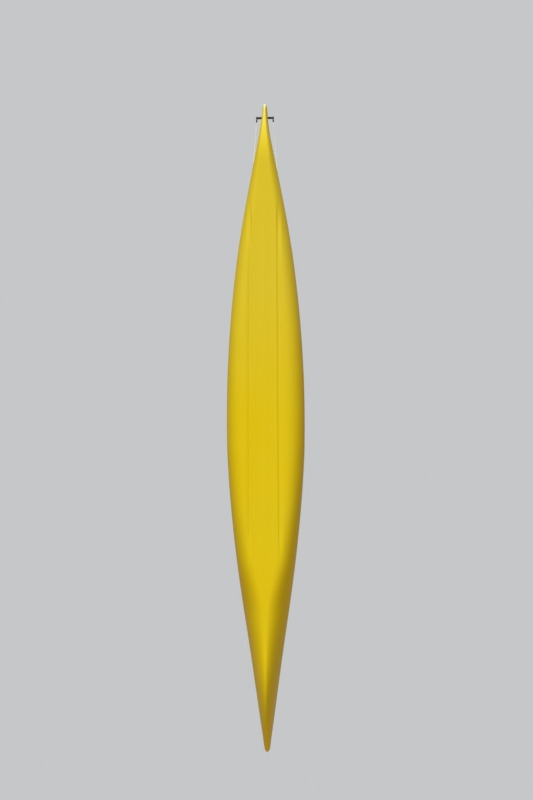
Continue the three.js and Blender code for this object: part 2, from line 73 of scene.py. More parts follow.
# Distance back from the bow tip, sheer height, deck crown, flat half width, power of the side curve
SHAPE = np.array([
    (0, 335, 6, 3, 1.7), (150, 323, 22, 3, 1.6), (300, 312, 38, 3, 1.55), (600, 291, 62, 3, 1.55),
    (1000, 264, 86, 12, 1.7), (1400, 247, 100, 82, 2.15), (1800, 237, 110, 128, 2.25),
    (2200, 233, 113, 143, 2.25), (2450, 232, 99, 145, 2.25), (2750, 232, 71, 145, 2.25),
    (3060, 232, 46, 143, 2.25), (3300, 232, 43, 135, 2.2), (3700, 235, 43, 112, 2.15),
    (4000, 238, 40, 82, 2.1), (4300, 244, 35, 50, 2.05), (4600, 252, 26, 26, 2.0),
    (4850, 261, 15, 9, 2.0), (5000, 268, 8, 4, 2.1), (5100, 272, 4, 3, 2.2),
]) / np.array([1000.0, 1000.0, 1000.0, 1000.0, 1.0])

COCKPIT = dict(a=2.630, rx=0.430, ry=0.208, taper=0.16, front=0.371, rear=0.303)
HATCHES = {
    "bow": dict(a=1.060, rx=0.150, ry=0.096, top=0.366),
    "stern": dict(a=3.640, rx=0.205, ry=0.138, top=0.292),
}
SEAT = dict(front=2.560, back=2.960, half=0.186, skin=0.006)
RAIL = dict(front=1.622, back=2.058, z=0.117, inset=0.0072)
RUDDER = dict(axis=0.090, hinge=-0.028, hinge_z=0.362, yoke_low=0.290, yoke_high=0.299, yoke_half=0.074)
BLADE = dict(arm=0.160, length=0.490, leading=0.040, trailing=0.057, half=0.004, hub=0.018)
CABLE = dict(radius=0.0031, end_s=0.600, end_y=0.099, rise=0.009)

# Finer forms than the frame has: grooves in the bottom, hollows by the keel and a ridge on the fore deck
GROOVE = dict(
    y=0.0935, steep=0.0110, bed=0.0020, gentle=0.032, depth=0.0088, start=1.33, stop=4.22, ramp=0.28,
)
HOLLOW = dict(depth=0.0016, width=0.092)
RIDGE = dict(height=0.004, width=0.045, start=0.15, ramp_in=0.4, stop=2.25, ramp_out=0.25)

SIDES = (("port", 1), ("starboard", -1))
UPRIGHT = (0, 0, 1)
MM = 0.001
# Keeps a division off zero
TINY = 1e-6


# Curves
def smooth(t):
    """The smooth step: 3 t squared minus 2 t cubed, held between 0 and 1."""
    t = np.clip(t, 0.0, 1.0)
    return t * t * (3 - 2 * t)


def curve(x, y):
    """A monotone cubic through points: each slope is a weighted harmonic mean of its neighbours' slopes."""
    h = np.diff(x)
    d = np.diff(y) / h
    w1, w2 = 2 * h[1:] + h[:-1], h[1:] + 2 * h[:-1]
    same = d[:-1] * d[1:] > 0
    safe0, safe1 = np.where(same, d[:-1], 1.0), np.where(same, d[1:], 1.0)
    inner = np.where(same, (w1 + w2) / (w1 / safe0 + w2 / safe1), 0.0)
    m = np.concatenate([[d[0]], inner, [d[-1]]])

    def at(v):
        """The curve's height at v, from the two points on each side of it and their slopes."""
        v = np.asarray(v, float)
        i = np.clip(np.searchsorted(x, v, side="right") - 1, 0, len(x) - 2)
        t = (v - x[i]) / h[i]
        t2, t3 = t * t, t * t * t
        first = (2 * t3 - 3 * t2 + 1) * y[i] + (t3 - 2 * t2 + t) * h[i] * m[i]
        return first + (3 * t2 - 2 * t3) * y[i + 1] + (t3 - t2) * h[i] * m[i + 1]

    return at


beam_full = curve(BEAM[:, 0], BEAM[:, 1])
sheer_full, crown_full, flat, side = (curve(SHAPE[:, 0], SHAPE[:, k]) for k in (1, 2, 3, 4))


def keel_full(a):
    """Keel height: zero along the middle, and a power curve up to the tip at each end."""
    s = LENGTH - a
    bow = BOW_RISE["height"] * np.clip(1 - a / BOW_RISE["length"], 0, 1) ** BOW_RISE["power"]
    stern = STERN_RISE["height"] * np.clip(1 - s / STERN_RISE["length"], 0, 1) ** STERN_RISE["power"]
    return bow + stern


def fullness(a):
    """How full a section is: one, falling along a quarter circle to nothing over the last bit of each tip."""
    k = np.clip(np.minimum(a, LENGTH - a) / TIP_ROUND, 0, 1)
    return np.sqrt(1 - (1 - k) ** 2)


def beam(a):
    """Half width at the sheer, drawn in where the tip rounds off."""
    return beam_full(a) * fullness(a)


def toward_middle(a, z):
    """Draws a height towards the middle of its section where the tip rounds off."""
    middle = (keel_full(a) + sheer_full(a)) / 2
    return middle + (z - middle) * fullness(a)


def keel(a):
    """Height of the keel, tips rounded."""
    return toward_middle(a, keel_full(a))


def sheer(a):
    """Height of the sheer, the line where hull and deck meet, tips rounded."""
    return toward_middle(a, sheer_full(a))


def deck_z(a, y):
    """Deck height: the crown times a rounded hump over the sheer, with a soft ridge along the fore deck."""
    u = np.clip(np.abs(y) / np.maximum(beam(a), TINY), 0, 1)
    hump = crown_full(a) * fullness(a) * (1 - u ** DECK_POWER) ** DECK_ROOT
    fade = smooth((a - RIDGE["start"]) / RIDGE["ramp_in"]) * smooth((RIDGE["stop"] - a) / RIDGE["ramp_out"])
    ridge = RIDGE["height"] * fade * np.exp(-np.abs(y) / RIDGE["width"]) * (1 - u)
    return sheer(a) + hump + ridge


def side_y(a, z, wall=0.0):
    """Half width of the hull's skin at a height, from the superellipse of its side."""
    low, high = keel(a) + wall, sheer(a)
    f = flat(a)
    v = np.clip((high - z) / (high - low), 0, 1)
    return f + (beam(a) - wall - f) * (1 - v ** side(a)) ** (1 / side(a))


# Meshes
SHARP_EDGE = math.radians(40)
SAME_POINT, NO_LENGTH = 1e-6, 1e-7
# Any direction that no turned piece has for its axis
ASKEW = (0.31, 0.52, 0.79)
# A pan-head screw from the middle of its socket outward: share of its radius, share of its height
PAN_HEAD = np.array([(0, 0.35), (0.42, 0.35), (0.46, 1), (0.75, 0.92), (1, 0.4), (1, -1), (0, -1)])


def grid(points, closed_u=False, closed_v=False):
    """Vertices and quads of a surface over a grid of points, shape (rows, columns, 3)."""
    rows, cols = points.shape[:2]
    i = np.arange(rows if closed_u else rows - 1)
    j = np.arange(cols if closed_v else cols - 1)
    ii, jj = np.meshgrid(i, j, indexing="ij")
    i2, j2 = (ii + 1) % rows, (jj + 1) % cols
    quads = np.stack([ii * cols + jj, ii * cols + j2, i2 * cols + j2, i2 * cols + jj], -1)
    return points.reshape(-1, 3), quads.reshape(-1, 4).tolist()


def capped(points):
    """A grid whose rings close round and whose first and last rings are filled by one face each."""
    rows, cols = points.shape[:2]
    co, faces = grid(points, closed_v=True)
    last = (rows - 1) * cols
    return co, faces + [list(range(cols))[::-1], list(range(last, last + cols))]


def piece(name, *shapes, weld=SAME_POINT):
    """One mesh from several shapes, its doubles merged, its faces turned outward and its sharp edges kept."""
    bm = bmesh.new()
    for co, faces in shapes:
        me = bpy.data.meshes.new("part")
        me.from_pydata(np.asarray(co).tolist(), [], faces)
        bm.from_mesh(me)
        bpy.data.meshes.remove(me)
    bmesh.ops.remove_doubles(bm, verts=bm.verts, dist=weld)
    bmesh.ops.dissolve_degenerate(bm, edges=bm.edges, dist=NO_LENGTH)
    bmesh.ops.recalc_face_normals(bm, faces=bm.faces)
    for f in bm.faces:
        f.smooth = True
    for e in bm.edges:
        e.smooth = len(e.link_faces) == 2 and e.calc_face_angle(0) < SHARP_EDGE
    me = bpy.data.meshes.new(name)
    bm.to_mesh(me)
    bm.free()
    ob = bpy.data.objects.new(name, me)
    bpy.context.scene.collection.objects.link(ob)
    return ob


def place(ob, body, material, *nodes, slot):
    """Puts a finished piece on its body with its material, in place of the frame's nodes."""
    ob.data.materials.clear()
    ob.data.materials.append(material)
    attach(ob, body)
    if nodes:
        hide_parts(*nodes)
    return ob


def facing_up(ob):
    """Turns an open sheet over if its faces look down."""
    if sum(f.normal.z for f in ob.data.polygons) < 0:
        ob.data.flip_normals()
    return ob


def thickened(ob, thickness, offset):
    """Gives an open sheet a wall, on the side that its faces look to for offset 1 and behind them for -1."""
    wall = ob.modifiers.new("wall", "SOLIDIFY")
    wall.thickness = thickness
    wall.offset = offset
    return ob


def unit(v):
    """Vectors scaled to length one."""
    return v / np.linalg.norm(v, axis=-1, keepdims=True)


def circle_steps(steps):
    """Angles evenly round a circle, with the first not said twice."""
    return np.arange(steps) / steps * 2 * np.pi


def sweep(path, profile, up=UPRIGHT, scale=None):
    """A closed profile (across, up) carried along a path, level across, its size scaled point by point."""
    path, profile = np.asarray(path, float), np.asarray(profile, float)
    along = unit(np.gradient(path, axis=0))
    across = unit(np.cross(np.broadcast_to(up, path.shape), along))
    rise = np.cross(along, across)
    scale = np.ones(len(path)) if scale is None else np.asarray(scale)
    part = across[:, None] * profile[None, :, :1] + rise[:, None] * profile[None, :, 1:]
    return capped(path[:, None] + part * scale[:, None, None])


def loft(stations_at, across, half_across, up, half_up, profile, along="x"):
    """A closed profile (across, up) set at stations along X or Y, with a centre and half sizes at each."""
    def column(values):
        return np.broadcast_to(np.asarray(values, float), len(stations_at))[:, None]

    forward = np.broadcast_to(column(stations_at), (len(stations_at), len(profile)))
    sideways = column(across) + column(half_across) * profile[None, :, 0]
    upward = column(up) + column(half_up) * profile[None, :, 1]
    order = (forward, sideways, upward) if along == "x" else (sideways, forward, upward)
    return capped(np.stack(order, -1))


def ring_profile(half_w, half_h, power=2.0, steps=16):
    """A superellipse (across, up): power 2 is an ellipse, and higher powers are a rounded rectangle."""
    t = circle_steps(steps) + np.pi / steps
    c, s = np.cos(t), np.sin(t)
    e = 2.0 / power
    return np.stack([half_w * np.sign(c) * np.abs(c) ** e, half_h * np.sign(s) * np.abs(s) ** e], -1)


def tube(path, radius, sides=10, up=UPRIGHT, tips=0.0):
    """A round tube along a path; tips, if given, round its two ends off over that share of its points."""
    n = len(path)
    scale = np.ones(n)
    if tips:
        blunt = 0.02
        k = np.clip(np.minimum(np.arange(n), np.arange(n)[::-1]) / (tips * n), 0, 1)
        scale = np.sqrt(1 - (1 - k) ** 2) * (1 - blunt) + blunt
    return sweep(path, ring_profile(radius, radius, 2.0, sides), up, scale)


def block(centre, half, power=5.0, n=18):
    """A rounded block: a superellipsoid, whose power says how square it is, from its half sizes."""
    la, lo = np.meshgrid(np.linspace(-np.pi / 2, np.pi / 2, n), circle_steps(2 * n), indexing="ij")

    def squared(v):
        return np.sign(v) * np.abs(v) ** (2.0 / power)

    out = squared(np.cos(la))
    shape = np.stack([out * squared(np.cos(lo)), out * squared(np.sin(lo)), squared(np.sin(la))], -1)
    return grid(np.asarray(centre) + shape * np.asarray(half), closed_v=True)


def turned_rings(centre, axis, profile, sides):
    """Points of a profile (radius, distance along the axis) turned round an axis through a centre."""
    axis = unit(np.asarray(axis, float))
    first = unit(np.cross(axis, ASKEW))
    second = np.cross(axis, first)
    profile = np.asarray(profile, float)
    t = circle_steps(sides)
    around = np.cos(t)[:, None] * first + np.sin(t)[:, None] * second
    return np.asarray(centre) + profile[:, None, :1] * around[None] + profile[:, None, 1:] * axis


def lathe(centre, axis, profile, sides=20):
    """A turned solid, whose profile starts and ends on its axis."""
    return grid(turned_rings(centre, axis, profile, sides), closed_v=True)


def collar(centre, axis, profile, sides=20):
    """A turned ring, whose profile closes on itself round a hole."""
    return grid(turned_rings(centre, axis, profile, sides), closed_u=True, closed_v=True)


def screw(centre, axis, radius, height=0.0022):
    """A pan-head screw seen from outside: a domed head with a small round socket in its middle."""
    return lathe(centre, axis, PAN_HEAD * (radius, height), 12)


def chaikin(points, times=2, closed=True):
    """Cuts an outline's corners, some times over: each span keeps its points at one and three quarters."""
    p = np.asarray(points, float)
    for _ in range(times):
        nxt = np.roll(p, -1, axis=0)
        new = np.stack([0.75 * p + 0.25 * nxt, 0.25 * p + 0.75 * nxt], 1).reshape(-1, p.shape[1])
        p = new if closed else np.concatenate([p[:1], new[1:-3], p[-1:]])
    return p


def run_length(points):
    """Distance along a line of points, from its first one."""
    return np.concatenate([[0], np.cumsum(np.linalg.norm(np.diff(points, axis=0), axis=1))])


def eased(points, steps):
    """Points spread evenly on a smooth curve through a few given ones, each coordinate a monotone cubic."""
    p = np.asarray(points, float)
    d = run_length(p)
    at = np.linspace(0, d[-1], steps)
    return np.stack([curve(d, p[:, k])(at) for k in range(p.shape[1])], -1)


def plate_xz(outline, y0, y1, edge=0.0008):
    """A flat plate whose outline lies in X-Z, from y0 to y1, with its edges eased by a small chamfer."""
    o = np.asarray(outline, float)
    area = np.sum(o[:, 0] * np.roll(o[:, 1], -1) - np.roll(o[:, 0], -1) * o[:, 1])
    t = unit(np.roll(o, -1, axis=0) - np.roll(o, 1, axis=0))
    inward = np.stack([-t[:, 1], t[:, 0]], -1) * np.sign(area)
    rings = []
    for y, inset in ((y0, edge), (y0 + edge, 0), (y1 - edge, 0), (y1, edge)):
        q = o + inward * inset
        rings.append(np.stack([q[:, 0], np.full(len(q), y), q[:, 1]], -1))
    return capped(np.array(rings))


# Shader parts that several materials share
def feed(tree, socket, value):
    """Gives a socket a number or a colour, or links another node's output to it."""
    if isinstance(value, (int, float)):
        socket.default_value = value
    elif isinstance(value, tuple):
        socket.default_value = (*value, 1)
    else:
        tree.links.new(value, socket)


def new_group(name, inputs, outputs):
    """An empty shader node group with numbers in and the given sockets out."""
    g = bpy.data.node_groups.new(name, "ShaderNodeTree")
    for label, value in inputs:
        g.interface.new_socket(label, in_out="INPUT", socket_type="NodeSocketFloat").default_value = value
    for label in outputs:
        g.interface.new_socket(label, in_out="OUTPUT", socket_type="NodeSocketFloat")
    return g, g.nodes.new("NodeGroupInput").outputs, g.nodes.new("NodeGroupOutput").inputs


def place_in(tree, stretch=(1, 1, 1)):
    """Object coordinates stretched along each axis."""
    coords = tree.nodes.new("ShaderNodeTexCoord")
    m = tree.nodes.new("ShaderNodeMapping")
    m.inputs["Scale"].default_value = stretch
    tree.links.new(coords.outputs["Object"], m.inputs["Vector"])
    return m.outputs["Vector"]


def part_in(tree, vector, axis):
    """One coordinate, X, Y or Z, of a vector."""
    n = tree.nodes.new("ShaderNodeSeparateXYZ")
    tree.links.new(vector, n.inputs[0])
    return n.outputs[axis]


def facing_in(tree):
    """How far the surface faces up: 1 is up, 0 is level and -1 is down."""
    return part_in(tree, tree.nodes.new("ShaderNodeNewGeometry").outputs["Normal"], "Z")


def noise_in(tree, where, scale, detail=3.0, rough=0.5):
    """Noise over the coordinates given, with features that get smaller as the scale grows."""
    n = tree.nodes.new("ShaderNodeTexNoise")
    tree.links.new(where, n.inputs["Vector"])
    for label, value in (("Scale", scale), ("Detail", detail), ("Roughness", rough)):
        feed(tree, n.inputs[label], value)
    return n.outputs[0]


def math_in(tree, operation, first, second=None, clamp=False):
    """One operation on one or two numbers or links."""
    n = tree.nodes.new("ShaderNodeMath")
    n.operation = operation
    n.use_clamp = clamp
    feed(tree, n.inputs[0], first)
    if second is not None:
        feed(tree, n.inputs[1], second)
    return n.outputs[0]


def range_in(tree, value, low, high, to_low=0.0, to_high=1.0):
    """A value carried evenly from the range low to high to the range to_low to to_high, and held in it."""
    n = tree.nodes.new("ShaderNodeMapRange")
    tree.links.new(value, n.inputs["Value"])
    sockets = ("From Min", "From Max", "To Min", "To Max")
    for label, number in zip(sockets, (low, high, to_low, to_high)):
        feed(tree, n.inputs[label], number)
    return n.outputs["Result"]


def make_grain():
    """Moulded grain: a fine pebble for the surface's height, and broad clouds for its tone."""
    g, given, out = new_group("moulded_grain", [("Scale", 400.0), ("Clouds", 2.0)], ["Height", "Tone"])
    where = place_in(g)
    broad = noise_in(g, where, given["Clouds"], detail=4.0, rough=0.55)
    g.links.new(noise_in(g, where, given["Scale"], detail=2.0), out["Height"])
    g.links.new(range_in(g, broad, 0.3, 0.7), out["Tone"])
    return g


def make_scratches():
    """Scratches from beaching: noise drawn out along the boat, kept where it peaks and a cloud lets it."""
    g, given, out = new_group("beach_scratches", [("Scale", 60.0), ("Amount", 0.5)], ["Mask"])
    lines = noise_in(g, place_in(g, stretch=(0.035, 1.6, 1.6)), given["Scale"], rough=0.6)
    patches = noise_in(g, place_in(g), 3.1, detail=2.0)
    both = math_in(g, "MULTIPLY", range_in(g, lines, 0.60, 0.72), range_in(g, patches, 0.42, 0.62))
    g.links.new(math_in(g, "MULTIPLY", both, given["Amount"], clamp=True), out["Mask"])
    return g


def make_dust():
    """Dust: grows with how far the surface faces up and with a cloudy noise."""
    g, given, out = new_group("settled_dust", [("Amount", 0.3), ("Scale", 30.0)], ["Mask"])
    clouds = noise_in(g, place_in(g), given["Scale"], detail=5.0, rough=0.6)
    up = range_in(g, facing_in(g), 0.2, 1.0)
    spots = range_in(g, clouds, 0.2, 0.8, to_low=0.45)
    both = math_in(g, "MULTIPLY", up, spots)
    g.links.new(math_in(g, "MULTIPLY", both, given["Amount"], clamp=True), out["Mask"])
    return g


def make_weave():
    """Plain weave: the product of two sets of waves a thread apart, one along X and one across."""
    g, given, out = new_group("plain_weave", [("Threads", 900.0)], ["Height"])
    where = place_in(g)
    lean = math_in(g, "ADD", part_in(g, where, "Y"), part_in(g, where, "Z"))
    warp = math_in(g, "SINE", math_in(g, "MULTIPLY", part_in(g, where, "X"), given["Threads"]))
    weft = math_in(g, "SINE", math_in(g, "MULTIPLY", lean, given["Threads"]))
    g.links.new(range_in(g, math_in(g, "MULTIPLY", warp, weft), -1.0, 1.0), out["Height"])
    return g


GRAIN, SCRATCHES, DUST, WEAVE = make_grain(), make_scratches(), make_dust(), make_weave()


def use(tree, group, **values):
    """Places a shared group in a material with its own values."""
    n = tree.nodes.new("ShaderNodeGroup")
    n.node_tree = group
    for label, value in values.items():
        n.inputs[label].default_value = value
    return n.outputs


def mixed(tree, mask, first, second):
    """Two colours, or a link and a colour, mixed by a mask."""
    n = tree.nodes.new("ShaderNodeMix")
    n.data_type = "RGBA"
    tree.links.new(mask, n.inputs["Factor"])
    for label, value in (("A", first), ("B", second)):
        feed(tree, next(s for s in n.inputs if s.name == label and s.type == "RGBA"), value)
    return next(s for s in n.outputs if s.type == "RGBA")


def bumped(tree, shader, height, strength, distance):
    """Relief in the shader's normal, from a height."""
    n = tree.nodes.new("ShaderNodeBump")
    n.inputs["Strength"].default_value = strength
    n.inputs["Distance"].default_value = distance
    tree.links.new(height, n.inputs["Height"])
    tree.links.new(n.outputs["Normal"], shader.inputs["Normal"])


def material(name, **sockets):
    """A new material with its shader's own sockets set, an underscore in a name standing for a space."""
    m = bpy.data.materials.new(name)
    m.use_nodes = True
    shader = m.node_tree.nodes["Principled BSDF"]
    for key, value in sockets.items():
        shader.inputs[key.replace("_", " ")].default_value = value
    return m, m.node_tree, shader


# Materials
DUST_COLOUR = (0.52, 0.50, 0.46)
# How far a full bump stands out, in metres
PEBBLE, THREAD, DRAWN_LINE = 0.0006, 0.0007, 0.0003
# Noise scales of the clouds, the scratches and the dust
CLOUD_SCALE, SCRATCH_SCALE, DUST_SCALE = 1.7, 60.0, 34.0
# How much duller a surface gets where its tone is palest
DULLER_PLASTIC, DULLER_METAL = 0.08, 0.14
# How far a surface faces down, from where the stern tip's pale underside, partly a painted glint, starts to
# where it is full
UNDERSIDE = (-0.15, -0.5)


def moulded(
    name, colour, faded, rough, grain, scratched=None, scratches=0.5, dusty=0.05, bump=0.12, gloss=0.5,
):
    """Moulded plastic: two tones of one colour, a pebbled surface, paler scratches and dust on top."""
    m, tree, shader = material(name, Specular_IOR_Level=gloss)
    g = use(tree, GRAIN, Scale=grain, Clouds=CLOUD_SCALE)
    colour_now = mixed(tree, g["Tone"], colour, faded)
    height = g["Height"]
    if scratched:
        mask = use(tree, SCRATCHES, Scale=SCRATCH_SCALE, Amount=scratches)["Mask"]
        colour_now = mixed(tree, mask, colour_now, scratched)
        height = math_in(tree, "SUBTRACT", height, math_in(tree, "MULTIPLY", mask, 2.0))
    dust = use(tree, DUST, Amount=dusty, Scale=DUST_SCALE)["Mask"]
    tree.links.new(mixed(tree, dust, colour_now, DUST_COLOUR), shader.inputs["Base Color"])
    dull = range_in(tree, g["Tone"], 0.0, 1.0, rough, rough + DULLER_PLASTIC)
    tree.links.new(dull, shader.inputs["Roughness"])
    bumped(tree, shader, height, bump, PEBBLE)
    return m


def paint_sheen_and_scuff(m, paler, start, end, underside=False):
    """Paints the colour paler along the boat, from one X to another, all over or on the underside only: a
    painted sheen, and a pale tip that is partly a painted glint.
    """
    tree, shader = m.node_tree, m.node_tree.nodes["Principled BSDF"]
    colour_now = shader.inputs["Base Color"].links[0].from_socket
    mask = range_in(tree, part_in(tree, place_in(tree), "X"), start, end)
    if underside:
        mask = math_in(tree, "MULTIPLY", mask, range_in(tree, facing_in(tree), *UNDERSIDE))
    tree.links.new(mixed(tree, mask, colour_now, paler), shader.inputs["Base Color"])


def cloth(name, colour, faded, threads, sheen=0.3):
    """Woven cover: threads in relief, tone in broad clouds, and a sheen set on the shader."""
    m, tree, shader = material(name, Roughness=0.92, Sheen_Weight=sheen)
    tone = use(tree, GRAIN, Scale=60.0, Clouds=9.0)["Tone"]
    weave = use(tree, WEAVE, Threads=threads)["Height"]
    worn = math_in(tree, "MULTIPLY", tone, weave)
    tree.links.new(mixed(tree, worn, colour, faded), shader.inputs["Base Color"])
    bumped(tree, shader, weave, 0.5, THREAD)
    return m


def metal(name, colour, worn, rough, stretch):
    """Metal with fine drawn lines: noise stretched along the work, for tone and roughness."""
    m, tree, shader = material(name, Metallic=1.0)
    lines = noise_in(tree, place_in(tree, stretch), 500.0)
    mask = range_in(tree, lines, 0.35, 0.65)
    tree.links.new(mixed(tree, mask, colour, worn), shader.inputs["Base Color"])
    dull = range_in(tree, mask, 0.0, 1.0, rough, rough + DULLER_METAL)
    tree.links.new(dull, shader.inputs["Roughness"])
    bumped(tree, shader, lines, 0.12, DRAWN_LINE)
    return m


# The hull's yellow pales towards the stern as a painted sheen; its tip is partly scuffed, partly a painted
# glint
yellow = moulded(
    "hull_yellow", (0.80, 0.600, 0.005), (0.78, 0.620, 0.010), 0.38, grain=420.0,
    scratched=(0.84, 0.70, 0.12), scratches=0.22, dusty=0.07, gloss=0.11,
)
# Painted sheen: the yellow turns paler and whiter towards the stern, in two steps
paint_sheen_and_scuff(yellow, (0.765, 0.617, 0.030), start=0.1, end=-0.9)
paint_sheen_and_scuff(yellow, (0.745, 0.620, 0.085), start=-2.05, end=-2.48)
# Paler still on the stern tip's underside: partly a scuff, partly a painted glint
paint_sheen_and_scuff(yellow, (0.78, 0.76, 0.42), start=STERN_X + 0.070, end=STERN_X + 0.030, underside=True)
black = moulded(
    "black_plastic", (0.020, 0.020, 0.021), (0.028, 0.028, 0.029), 0.40, grain=700.0, dusty=0.03, bump=0.2)
seat_plastic = moulded(
    "seat_plastic", (0.026, 0.026, 0.028), (0.034, 0.034, 0.036), 0.48, grain=600.0, dusty=0.04, bump=0.3)
rubber = moulded("black_rubber", (0.034, 0.036, 0.040), (0.043, 0.045, 0.049), 0.52, grain=900.0, bump=0.3)
foam = moulded("grey_foam", (0.10, 0.10, 0.105), (0.135, 0.135, 0.14), 0.85, grain=260.0, dusty=0.1, bump=0.5)
fabric = cloth("seat_cloth", (0.030, 0.031, 0.035), (0.080, 0.081, 0.088), threads=2600.0)
webbing = cloth("black_webbing", (0.018, 0.018, 0.020), (0.045, 0.045, 0.047), threads=1900.0, sheen=0.15)
line_weave = cloth("deck_line", (0.022, 0.022, 0.026), (0.12, 0.12, 0.13), threads=1500.0, sheen=0.1)
alloy = metal("dark_alloy", (0.13, 0.13, 0.14), (0.20, 0.20, 0.21), 0.34, stretch=(0.04, 1, 1))
blade_coat = moulded(
    "blade_coat", (0.045, 0.048, 0.052), (0.060, 0.063, 0.067), 0.38, grain=500.0,
    scratched=(0.20, 0.20, 0.21), dusty=0.08,
)
steel = metal("bright_steel", (0.62, 0.63, 0.65), (0.50, 0.51, 0.53), 0.24, stretch=(1, 1, 0.1))
cable_coat = moulded("cable_coat", (0.88, 0.92, 0.97), (0.82, 0.85, 0.89), 0.34, grain=900.0, dusty=0.0)

# Camera: below the hull and looking up at its bottom, with the boat's stern at the top of the picture.
# Height is how far it stands from the bow tip along the boat, and distance how far from the hull's bottom, in
# metres. The other four are turns in degrees
CAMERA = dict(height=1.6208, distance=5.7463, tilt=9.3704, around=2.0182, roll=0.2001, pan=-0.0721)
PIVOT_Z = 0.2
SENSOR, LENS = 36.0, 35.0


def make_camera(c):
    """A camera stood a height along the boat from the bow tip, then turned round the hull, aside and up."""
    data = bpy.data.cameras.new("camera")
    data.sensor_width = SENSOR
    data.lens = LENS
    cam = bpy.data.objects.new("camera", data)
    bpy.context.scene.collection.objects.link(cam)
    bpy.context.scene.camera = cam
    tilt, around, roll, pan = (math.radians(c[k]) for k in ("tilt", "around", "roll", "pan"))
    up = Vector((-1, 0, 0))
    out = Vector((0, math.sin(around), math.cos(around)))
    look = Matrix.Rotation(pan, 3, up) @ out
    look = Matrix.Rotation(tilt, 3, look.cross(up)) @ look
    right = Matrix.Rotation(roll, 3, look) @ look.cross(up).normalized()
    up = right.cross(look)
    m = Matrix((right, up, -look)).transposed().to_4x4()
    pos = Vector((0, 0, PIVOT_Z)) - out * (c["distance"] + PIVOT_Z)
    pos.x = BOW_X - c["height"]
    m.translation = pos
    cam.matrix_world = m


make_camera(CAMERA)


# Hull
HULL_RINGS, OUTER_POINTS, INNER_POINTS, NOSE_RINGS = 330, 149, 61, 8
# Share of the rings' spacing that is even, the rest crowding towards the tips
EVEN = 0.55
# A flat floor this wide, or wider, takes this share of a section's points
FULL_FLOOR, FLOOR_POINTS = 0.145, 0.46
# Most of the half beam and of the depth that a wall may take, and most of the inner half beam that is flat
THICK_ACROSS, THICK_UP, FLAT_MOST = 0.6, 0.5, 0.8


def stations(n):
    """Distances from the bow, closer together towards the tips and closest where the tips round off."""
    k = np.linspace(0, 1, n)
    crowded = 0.5 - 0.5 * np.cos(np.pi * k)
    body = TIP_ROUND + (LENGTH - 2 * TIP_ROUND) * (EVEN * k + (1 - EVEN) * crowded)
    nose = TIP_ROUND * (1 - np.cos(np.linspace(0, np.pi / 2, NOSE_RINGS)))[:-1]
    return np.concatenate([nose, body, (LENGTH - nose)[::-1]])


def floor_detail(a, y):
    """Height of the hull's bottom over its plain form.

    Two grooves, each with a steep inner and a gentle outer side, and a faint hollow either side of the keel.
    """
    g = GROOVE
    r = np.abs(y)
    fade = smooth((a - g["start"]) / g["ramp"]) * smooth((g["stop"] - a) / g["ramp"])
    bed = g["y"] + g["steep"] + g["bed"]
    groove = g["depth"] * smooth((r - g["y"]) / g["steep"]) * (1 - smooth((r - bed) / g["gentle"]))
    hollow = HOLLOW["depth"] * np.sin(np.pi * np.clip(r / HOLLOW["width"], 0, 1)) ** 2
    return fade * (groove + hollow)


def hull_section(a, t, wall=0.0):
    """Points of the hull's skin for t from -1 at one sheer to 1 at the other.

    Across: a flat floor out to the flat half width, then a quarter of a superellipse up to the sheer.
    """
    b = np.maximum(beam(a) - np.minimum(wall, THICK_ACROSS * beam(a)), 0)
    high = sheer(a)
    low = keel(a) + np.minimum(wall, THICK_UP * (high - keel(a)))
    m = side(a)
    f = np.minimum(flat(a), FLAT_MOST * b)
    split = FLOOR_POINTS * np.clip(f / FULL_FLOOR, 0.02, 1.0)
    u = np.abs(t)
    angle = np.clip((u - split) / (1 - split), 0, 1) * np.pi / 2
    y = np.where(u < split, f * u / split, f + (b - f) * np.sin(angle) ** (2 / m))
    z = np.where(u < split, low, high - (high - low) * np.cos(angle) ** (2 / m))
    y = y * np.sign(t)
    return np.stack([BOW_X - a, y, z + floor_detail(a, y)], -1)


def hull_shell():
    """The hull as one closed skin: each ring runs across the outside and back along the inside."""
    a = stations(HULL_RINGS)
    out_a, out_t = np.meshgrid(a, np.linspace(-1, 1, OUTER_POINTS), indexing="ij")
    in_a, in_t = np.meshgrid(a, np.linspace(1, -1, INNER_POINTS), indexing="ij")
    return capped(np.concatenate([hull_section(out_a, out_t), hull_section(in_a, in_t, WALL)], 1))


place(piece("hull_skin", hull_shell()), "hull", yellow, "hull_shell", slot="hull_plastic")

# Deck
DECK_RINGS = 300
DECK_THICK = 0.0045
# The deck's hole is this much larger than the opening, and a plain band keeps this far from a hole's stretch
HOLE_GAP, BAND_GAP = 0.0003, 0.004
HOLE_CROWDING = 1.25
# The stretch of deck round each opening, as distances from the bow tip
STRETCHES = {"bow": (0.84, 1.28), "cockpit": (2.10, 3.16), "stern": (3.37, 3.91)}
# Shares of the half beam across, closer together towards the deck's edges
ACROSS = np.sin(np.linspace(-1, 1, 65) * np.pi / 2)


def oval_at(h, theta, grow=0.0):
    """A point of an opening's oval, grown outward: cosine along, sine across, slimmer ahead if it tapers."""
    taper = h.get("taper", 0.0)
    x = BOW_X - h["a"] + (h["rx"] + grow) * np.cos(theta)
    y = (h["ry"] + grow) * np.sin(theta) * (1 - taper * np.cos(theta))
    return x, y


def on_deck(a, y, up=0.0):
    """A point on the deck, or a height over it."""
    a, y = np.asarray(a, float), np.asarray(y, float)
    return np.stack([BOW_X - a, y, deck_z(a, y) + up], -1)


def deck_band(a):
    """The deck from edge to edge at some distances from the bow tip."""
    aa, ss = np.meshgrid(a, ACROSS, indexing="ij")
    return grid(on_deck(aa, beam(aa) * ss))


